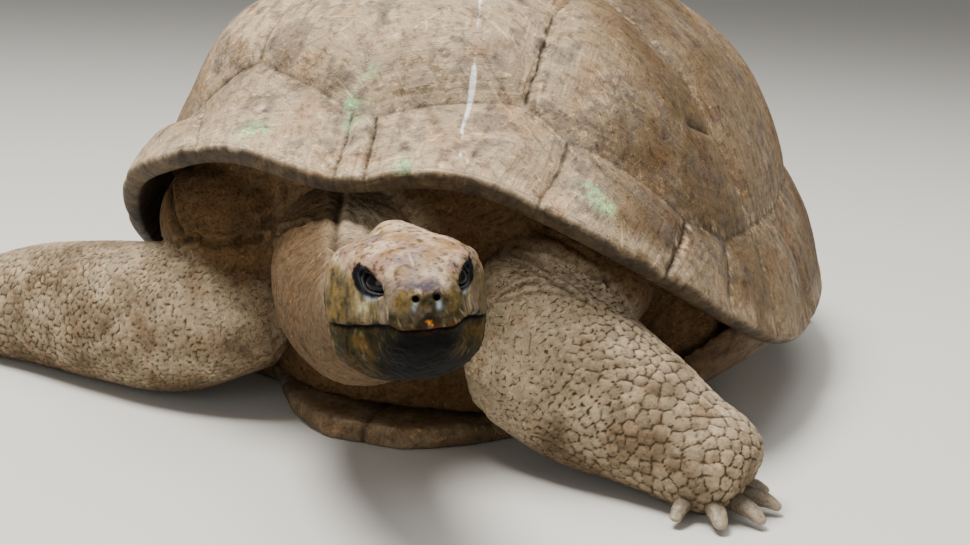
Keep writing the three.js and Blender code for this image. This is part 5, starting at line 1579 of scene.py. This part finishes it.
def build_claw(name, root, heading, size):
    """One claw, ridged along its length. heading is in radians; size is its share of the full length."""
    ahead = np.array([math.cos(heading), math.sin(heading), 0])
    table = np.array([[*(root + ahead * along * CLAW["length"] * size - [0, 0, drop * size]),
                       wide * size * CLAW["half_width"], high * size * CLAW["half_height"]]
                      for along, drop, wide, high in CLAW_SHAPE])
    centres, _, side, up, width, height = limb_frames(table, CLAW_STEPS, np.array([0.0, 0.0, 1.0]))
    turn = np.linspace(0, 2 * math.pi, CLAW_SIDES, endpoint=False)
    rings = (centres[:, None] + side[:, None] * (width[:, None] * np.cos(turn))[..., None]
             + up[:, None] * (height[:, None] * signed_power(np.sin(turn), 0.85))[..., None])
    points, quads, ends = turned_out(*loft(rings))
    own_ring = np.minimum(np.arange(len(points)) // CLAW_SIDES, len(centres) - 1)
    outward = unit(points - centres[own_ring])
    drawn_out = np.stack([points @ ahead * 0.12, points @ np.cross(ahead, [0, 0, 1]), points[:, 2]], axis=1)
    ridges = noise(drawn_out, 2.6, 160)
    growth = noise(np.stack([points @ ahead, 0 * points[:, 0], 0 * points[:, 0]], axis=1), 4, 161)
    points = points + outward * (0.35 * ridges + 0.25 * growth)[:, None]
    points[:, 2] = np.maximum(points[:, 2], 0)
    piece = make_mesh(f"nail_{name}", points, [quads, ends])
    along = ((points - root) @ ahead) / CLAW["length"]
    colour = blend_colours(np.tile([0.115, 0.09, 0.06], (len(points), 1)), [0.30, 0.24, 0.16],
                           smooth(0.25, 1.0, along + 0.2 * ridges))
    colour = blend_colours(colour, [0.05, 0.038, 0.025], 0.6 * smooth(0.1, -0.1, along))
    store_paint(piece.data, colour)
    corners = corner_vertices(piece.data)
    around = np.append(np.tile(np.arange(CLAW_SIDES) / CLAW_SIDES, len(centres)), [0, 0])
    down = np.append(np.repeat(np.arange(len(centres)) / len(centres), CLAW_SIDES), [0, 1])
    u = around[corners]
    wraps = np.zeros(len(corners))
    quad_corners = len(quads) * 4
    grouped = u[:quad_corners].reshape(-1, 4)
    wraps[:quad_corners] = ((grouped.max(axis=1) - grouped.min(axis=1) > 0.5)[:, None]
                            & (grouped < 0.5)).ravel()
    store_bake_map(piece.data, np.stack([0.02 + 0.9 * (u + wraps), 0.02 + 0.96 * down[corners]], axis=1))
    return piece


def build_claws():
    variation = random_stream(5)
    pieces = {}
    for foot_name, foot in FEET.items():
        for i in range(foot["count"]):
            fan = (i / (foot["count"] - 1) - 0.5) * foot["spread"]
            heading = math.radians(foot["heading"] + fan)
            size = 1 - 0.16 * abs(fan / foot["spread"]) * 2 + 0.05 * next(variation)
            root = np.array([foot["at"][0] + math.cos(heading) * foot["radius"],
                             foot["at"][1] + math.sin(heading) * foot["radius"], CLAW_ROOT_HEIGHT])
            name = f"{foot_name}_{i + 1}"
            pieces[name] = build_claw(name, root, heading, size)
    return pieces


# ---------- Materials ----------
class Shader:
    """A material's node tree, with short calls for the nodes used here."""

    def __init__(self, name, roughness, specular=0.5):
        self.material = bpy.data.materials.new(name)
        self.material.use_nodes = True
        self.tree = self.material.node_tree
        self.surface = self.tree.nodes["Principled BSDF"]
        self.surface.inputs["Roughness"].default_value = roughness
        self.surface.inputs["Specular IOR Level"].default_value = specular
        self.place = self.node("ShaderNodeTexCoord").outputs["Object"]

    def node(self, kind, settings=None, **inputs):
        """A new node. Its inputs go by name (Base_Color) or by number (i0)."""
        made = self.tree.nodes.new(kind)
        for key, value in (settings or {}).items():
            setattr(made, key, value)
        for key, value in inputs.items():
            numbered = key[0] == "i" and key[1:].isdigit()
            self.feed(made.inputs[int(key[1:]) if numbered else key.replace("_", " ")], value)
        return made

    def feed(self, socket, value):
        if isinstance(value, bpy.types.NodeSocket):
            self.tree.links.new(value, socket)
        else:
            socket.default_value = value

    def attribute(self, name, output="Fac"):
        return self.node("ShaderNodeAttribute", {"attribute_name": name}).outputs[output]

    def vector_math(self, operation, **inputs):
        return self.node("ShaderNodeVectorMath", {"operation": operation}, **inputs).outputs[0]

    def scaled(self, vector, amounts):
        return self.vector_math("MULTIPLY", i0=vector, i1=amounts)

    def noise(self, scale, detail=4, roughness=0.6, vector=None, distortion=0.0):
        made = self.node("ShaderNodeTexNoise", Vector=vector or self.place, Scale=scale, Detail=detail,
                         Roughness=roughness, Distortion=distortion)
        return made.outputs["Fac"]

    def cells(self, scale, feature="DISTANCE_TO_EDGE", vector=None):
        made = self.node("ShaderNodeTexVoronoi", {"feature": feature}, Vector=vector or self.place,
                         Scale=scale)
        return made.outputs["Distance"]

    def bent_place(self, size, amount):
        """Object coordinates pushed about by noise, for lines that wander."""
        push = self.node("ShaderNodeTexNoise", Vector=self.place, Scale=size, Detail=2.0).outputs["Color"]
        centred = self.vector_math("SUBTRACT", i0=push, i1=(0.5, 0.5, 0.5))
        scaled = self.vector_math("SCALE", i0=centred, Scale=amount)
        return self.vector_math("ADD", i0=self.place, i1=scaled)

    def ramp(self, value, low, high, bottom=0.0, top=1.0):
        made = self.node("ShaderNodeMapRange", {"interpolation_type": "SMOOTHSTEP"},
                         i0=value, i1=low, i2=high, i3=bottom, i4=top)
        return made.outputs[0]

    def math(self, operation, a, b=0.0):
        return self.node("ShaderNodeMath", {"operation": operation}, i0=a, i1=b).outputs[0]

    def mix_colour(self, a, b, share, way="MIX"):
        made = self.node("ShaderNodeMix", {"data_type": "RGBA", "blend_type": way})
        self.feed(made.inputs[0], share)
        self.feed(made.inputs[6], a)
        self.feed(made.inputs[7], b)
        return made.outputs[2]

    def tinted(self, colour, tint, share):
        """The colour multiplied by a tint, by its share from 0 to 1."""
        return self.mix_colour(colour, (*tint, 1), share, "MULTIPLY")

    def mottled(self, colour, tints):
        """The colour tinted in turn, by (tint, level, where the tint begins, where it is full)."""
        for tint, level, low, high in tints:
            colour = self.tinted(colour, tint, self.ramp(level, low, high))
        return colour

    def bump(self, height, distance, strength=1.0, before=None):
        made = self.node("ShaderNodeBump", Height=height, Distance=distance, Strength=strength)
        if before is not None:
            self.feed(made.inputs["Normal"], before)
        return made.outputs["Normal"]

    def set(self, **inputs):
        for key, value in inputs.items():
            self.feed(self.surface.inputs[key.replace("_", " ")], value)


def strokes(shader, place, sets):
    """Fine, tapered scratches, 1 on one: the crests of noise stretched along a turned axis.

    Each set is (turn, scale along, scale across, level where a scratch begins, level where it is full).
    """
    found = []
    for turn, along, across, low, high in sets:
        turned = shader.node("ShaderNodeMapping", Vector=place, Rotation=turn).outputs[0]
        level = shader.noise(1.0, 1.0, 0.4, vector=shader.scaled(turned, (along, across, across)))
        found.append(shader.ramp(level, low, high))
    total = found[0]
    for value in found[1:]:
        total = shader.math("MAXIMUM", total, value)
    return total


def shell_material():
    """Worn horn: mottled taupe, brushed with fine pale and dark scratches, with dirt in the cracks."""
    shader = Shader("horn", roughness=0.62, specular=0.3)
    paint = shader.attribute("paint", "Color")
    seam = shader.attribute("seam")
    bent = shader.bent_place(4.0, 0.05)
    mottle = shader.noise(80.0, 9.0, 0.72)
    patches = shader.noise(24.0, 5.0, 0.6)
    speckle = shader.noise(420.0, 5.0, 0.7)
    grain_place = shader.scaled(shader.attribute("grain", "Vector"), (1.0, 0.08, 1.0))
    grain = shader.noise(300.0, 5.0, 0.65, vector=grain_place)
    colour = shader.mottled(paint, [
        ((0.50, 0.46, 0.42), mottle, 0.48, 0.67), ((1.28, 1.25, 1.22), mottle, 0.47, 0.32),
        ((0.94, 0.82, 0.74), patches, 0.51, 0.66), ((0.80, 0.83, 0.88), patches, 0.46, 0.34),
        ((0.70, 0.66, 0.6), grain, 0.53, 0.68), ((1.2, 1.2, 1.18), grain, 0.45, 0.32),
        ((0.62, 0.58, 0.54), speckle, 0.58, 0.72),
    ])
    brushed = strokes(shader, bent, [
        ((0.0, 0.15, 0.1), 9.0, 300.0, 0.63, 0.73),
        ((0.2, -0.45, -0.3), 10.0, 280.0, 0.64, 0.74),
        ((0.0, 0.75, 0.4), 9.0, 300.0, 0.64, 0.74),
        ((0.3, -1.1, -0.2), 10.0, 260.0, 0.65, 0.75),
        ((-0.2, 1.4, 0.6), 9.0, 290.0, 0.65, 0.75),
    ])
    scored = strokes(shader, bent, [
        ((0.1, 0.3, -0.2), 3.0, 150.0, 0.71, 0.745),
        ((0.0, -0.6, 0.3), 3.4, 160.0, 0.71, 0.745),
        ((0.4, 1.0, -0.5), 3.2, 140.0, 0.715, 0.75),
        ((-0.3, -1.3, 0.9), 3.6, 150.0, 0.715, 0.75),
    ])
    dark_lines = strokes(shader, bent, [
        ((0.5, 0.5, 0.2), 10.0, 240.0, 0.63, 0.72),
        ((-0.4, -0.8, 0.5), 11.0, 220.0, 0.64, 0.73),
    ])
    colour = shader.tinted(colour, (1.45, 1.42, 1.36), shader.math("MULTIPLY", brushed, 0.8))
    colour = shader.tinted(colour, (1.65, 1.6, 1.5), shader.math("MULTIPLY", scored, 0.8))
    colour = shader.tinted(colour, (0.45, 0.42, 0.38), shader.math("MULTIPLY", dark_lines, 0.6))
    pits = shader.noise(260.0, 4.0, 0.7)
    crumble = shader.attribute("crumble")
    crack = shader.math("MULTIPLY", shader.ramp(seam, 2.6, 0.6), shader.ramp(pits, 0.38, 0.58, 0.1, 1.0))
    depth = shader.ramp(crumble, 0.0, 0.7, 0.05, 0.85)
    colour = shader.mix_colour(colour, (0.022, 0.015, 0.009, 1), shader.math("MULTIPLY", crack, depth))
    ragged = shader.math("ADD", shader.attribute("streak"), shader.ramp(patches, 0.35, 0.65, -1.2, 1.6))
    run = shader.ramp(ragged, 2.6, 1.0)
    run = shader.math("MULTIPLY", run, shader.ramp(mottle, 0.68, 0.5, 0.1, 1.0))
    colour = shader.mix_colour(colour, (0.86, 0.85, 0.86, 1), run)
    shader.set(Base_Color=colour, Roughness=shader.ramp(mottle, 0.3, 0.7, 0.52, 0.74))
    normal = shader.bump(grain, 0.0010, 0.9)
    normal = shader.bump(mottle, 0.0024, 0.9, before=normal)
    relief = shader.math("SUBTRACT", shader.math("ADD", brushed, scored), dark_lines)
    normal = shader.bump(relief, 0.0003, 0.7, before=normal)
    normal = shader.bump(shader.math("MULTIPLY", shader.ramp(seam, 14.0, 2.0), pits), 0.0022, 0.9,
                         before=normal)
    normal = shader.bump(speckle, 0.0005, 0.8, before=normal)
    shader.set(Normal=normal)
    return shader.material


def skin_material(name):
    """Dry, leathery skin: dark creases between horny scales; wrinkles and scratches where it is soft."""
    shader = Shader(name, roughness=0.8, specular=0.08)
    paint = shader.attribute("paint", "Color")
    plate = shader.attribute("plate")
    fine = shader.attribute("fine")
    bent = shader.bent_place(12.0, 0.025)
    mottle = shader.noise(130.0, 8.0, 0.72)
    patches = shader.noise(34.0, 5.0, 0.6)
    speckle = shader.noise(620.0, 4.0, 0.7)
    colour = shader.mottled(paint, [
        ((0.55, 0.50, 0.44), mottle, 0.49, 0.69), ((1.3, 1.28, 1.22), mottle, 0.47, 0.32),
        ((0.93, 0.86, 0.80), patches, 0.52, 0.68), ((0.84, 0.86, 0.84), patches, 0.46, 0.34),
    ])
    wrinkles = strokes(shader, bent, [
        ((0.1, 0.5, 0.2), 42.0, 260.0, 0.60, 0.70),
        ((0.3, -0.9, 0.5), 46.0, 240.0, 0.61, 0.71),
        ((-0.4, 1.4, 0.9), 42.0, 250.0, 0.61, 0.71),
    ])
    wrinkles = shader.math("MULTIPLY", wrinkles, fine)
    colour = shader.tinted(colour, (0.34, 0.28, 0.22), shader.math("MULTIPLY", wrinkles, 0.5))
    gap = shader.ramp(plate, 0.15, 0.03)
    colour = shader.mix_colour(colour, (0.050, 0.034, 0.021, 1), shader.math("MULTIPLY", gap, 0.85))
    colour = shader.tinted(colour, (0.6, 0.55, 0.5), shader.ramp(speckle, 0.57, 0.72))
    scratches = strokes(shader, bent, [
        ((0.2, 0.9, -0.3), 9.0, 190.0, 0.70, 0.74),
        ((0.0, -0.4, 0.5), 10.0, 200.0, 0.70, 0.74),
        ((0.5, 1.5, 0.2), 9.0, 190.0, 0.71, 0.75),
        ((-0.3, -1.2, -0.6), 10.0, 190.0, 0.71, 0.75),
    ])
    scratches = shader.math("MULTIPLY", scratches, fine)
    colour = shader.tinted(colour, (1.8, 1.75, 1.65), shader.math("MULTIPLY", scratches, 0.7))
    wet = shader.attribute("wet")
    shader.set(Base_Color=colour, Roughness=shader.ramp(wet, 0.0, 1.0, 0.8, 0.3))
    normal = shader.bump(mottle, 0.0016, 0.9)
    normal = shader.bump(shader.math("SUBTRACT", scratches, wrinkles), 0.0006, 0.8, before=normal)
    normal = shader.bump(speckle, 0.0005, 0.8, before=normal)
    shader.set(Normal=normal)
    return shader.material


def eye_material():
    """A black, wet eye with a very dark brown iris."""
    shader = Shader("eye", roughness=0.08, specular=0.12)
    off_axis = shader.attribute("off_axis")
    iris = shader.math("MULTIPLY", shader.ramp(off_axis, 0.25, 0.32), shader.ramp(off_axis, 0.62, 0.52))
    rays = shader.noise(900.0, 3.0, 0.6)
    iris_colour = shader.mix_colour((0.012, 0.008, 0.005, 1), (0.005, 0.004, 0.004, 1), rays)
    colour = shader.mix_colour((0.004, 0.004, 0.005, 1), iris_colour, iris)
    shader.set(Base_Color=colour, Coat_Weight=0.12, Coat_Roughness=0.03)
    shader.set(Normal=shader.bump(shader.noise(350.0, 2.0), 0.00005, 0.3))
    return shader.material


def claw_material():
    """Dull horn, streaked along its length and scuffed."""
    shader = Shader("claw", roughness=0.5, specular=0.4)
    paint = shader.attribute("paint", "Color")
    mottle = shader.noise(260.0, 6.0, 0.65)
    scuffs = shader.cells(240.0, vector=shader.bent_place(120.0, 0.01))
    colour = shader.mix_colour(paint, (0.045, 0.033, 0.022, 1), shader.ramp(mottle, 0.48, 0.7, 0.0, 0.6))
    colour = shader.mix_colour(colour, (0.42, 0.35, 0.25, 1), shader.ramp(scuffs, 0.05, 0.0, 0.0, 0.3))
    shader.set(Base_Color=colour, Roughness=shader.ramp(mottle, 0.3, 0.7, 0.38, 0.62))
    shader.set(Normal=shader.bump(mottle, 0.0006, 0.8))
    return shader.material


def finish_piece(piece, material, slot, *nodes):
    piece.data.materials.clear()
    piece.data.materials.append(material)
    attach(piece, "root")
    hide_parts(*nodes)


# ---------- Camera, floor and light ----------
# From the same fit as RINGS
CAMERA_AT = (0.639, -1.86, 0.557)
CAMERA_YAW, CAMERA_PITCH, CAMERA_ROLL = 19.7, 13.1, 2.9  # degrees: turned left, down and clockwise
FOCAL_PIXELS, PHOTO_WIDTH, SENSOR_WIDTH = 1560, 970, 36


def make_camera():
    """The photo's camera, as it was fitted."""
    yaw, pitch, roll = (math.radians(a) for a in (CAMERA_YAW, CAMERA_PITCH, CAMERA_ROLL))
    forward = np.array([-math.sin(yaw) * math.cos(pitch), math.cos(yaw) * math.cos(pitch), -math.sin(pitch)])
    level = np.array([math.cos(yaw), math.sin(yaw), 0])
    upright = np.cross(level, forward)
    right = level * math.cos(roll) + upright * math.sin(roll)
    up = upright * math.cos(roll) - level * math.sin(roll)
    lens = bpy.data.cameras.new("camera")
    lens.sensor_width = SENSOR_WIDTH
    lens.lens = FOCAL_PIXELS / PHOTO_WIDTH * SENSOR_WIDTH
    lens.clip_start, lens.clip_end = 0.05, 100
    camera = bpy.data.objects.new("camera", lens)
    bpy.context.scene.collection.objects.link(camera)
    turn = np.eye(4)
    turn[:3, 0], turn[:3, 1], turn[:3, 2], turn[:3, 3] = right, up, -forward, CAMERA_AT
    camera.matrix_world = Matrix(turn.tolist())
    bpy.context.scene.camera = camera


def make_floor():
    """A plain square floor; its size is in millimetres."""
    half = 30000
    corners = np.array([[-half, -half, 0], [half, -half, 0], [half, half, 0], [-half, half, 0]], float)
    floor = make_mesh("floor", corners, np.array([[0, 1, 2, 3]]))
    shader = Shader("floor", roughness=0.9, specular=0.2)
    shader.set(Base_Color=(0.62, 0.61, 0.58, 1))
    floor.data.materials.append(shader.material)


def soft_box(name, at, towards, size, watts, colour):
    """A round area light that looks at a point."""
    light = bpy.data.lights.new(name, "AREA")
    light.shape = "DISK"
    light.size = size
    light.energy = watts
    light.color = colour
    lamp = bpy.data.objects.new(name, light)
    bpy.context.scene.collection.objects.link(lamp)
    lamp.location = at
    direction = np.array(towards, float) - np.array(at)
    back = -direction / np.linalg.norm(direction)
    side = np.cross([0, 0, 1], back)
    side = side / np.linalg.norm(side)
    up = np.cross(back, side)
    aim = Matrix(np.column_stack([side, up, back]).tolist())
    lamp.matrix_world = Matrix.Translation(at) @ aim.to_4x4()


def make_lights():
    world = bpy.data.worlds.new("studio")
    world.use_nodes = True
    world.node_tree.nodes["Background"].inputs["Color"].default_value = (1.0, 0.98, 0.95, 1)
    world.node_tree.nodes["Background"].inputs["Strength"].default_value = 0.26
    bpy.context.scene.world = world
    soft_box("key", (-0.8, -1.25, 4.0), (0, -0.3, 0.2), 1.7, 330, (1.0, 0.96, 0.89))
    soft_box("top", (0.3, 0.5, 3.8), (0, 0, 0.3), 3.0, 90, (1.0, 0.98, 0.95))
    soft_box("fill", (3.2, -1.2, 1.8), (0, 0, 0.3), 2.4, 10, (1.0, 0.98, 0.95))
    soft_box("front", (0.3, -4.2, 1.5), (0, -0.4, 0.2), 2.2, 36, (1.0, 0.97, 0.92))


# ---------- The model ----------
make_camera()
make_floor()
make_lights()
horn, hide = shell_material(), skin_material("hide")
finish_piece(build_carapace(), horn, "shell", "carapace")
finish_piece(build_plastron(), horn, "plastron_horn", "plastron")
finish_piece(build_skin(), hide, "skin", "torso", "neck", "head", "lower_jaw", "tail",
             *[f"{leg}_{side}" for leg in ("foreleg", "hindleg") for side in SIDES])
wet_eye, dull_claw = eye_material(), claw_material()
for side_name, side in SIDES.items():
    finish_piece(build_eye(side_name, side), wet_eye, "eye", f"eye_{side_name}")
for claw_name, claw in build_claws().items():
    finish_piece(claw, dull_claw, "claw", f"claw_{claw_name}")
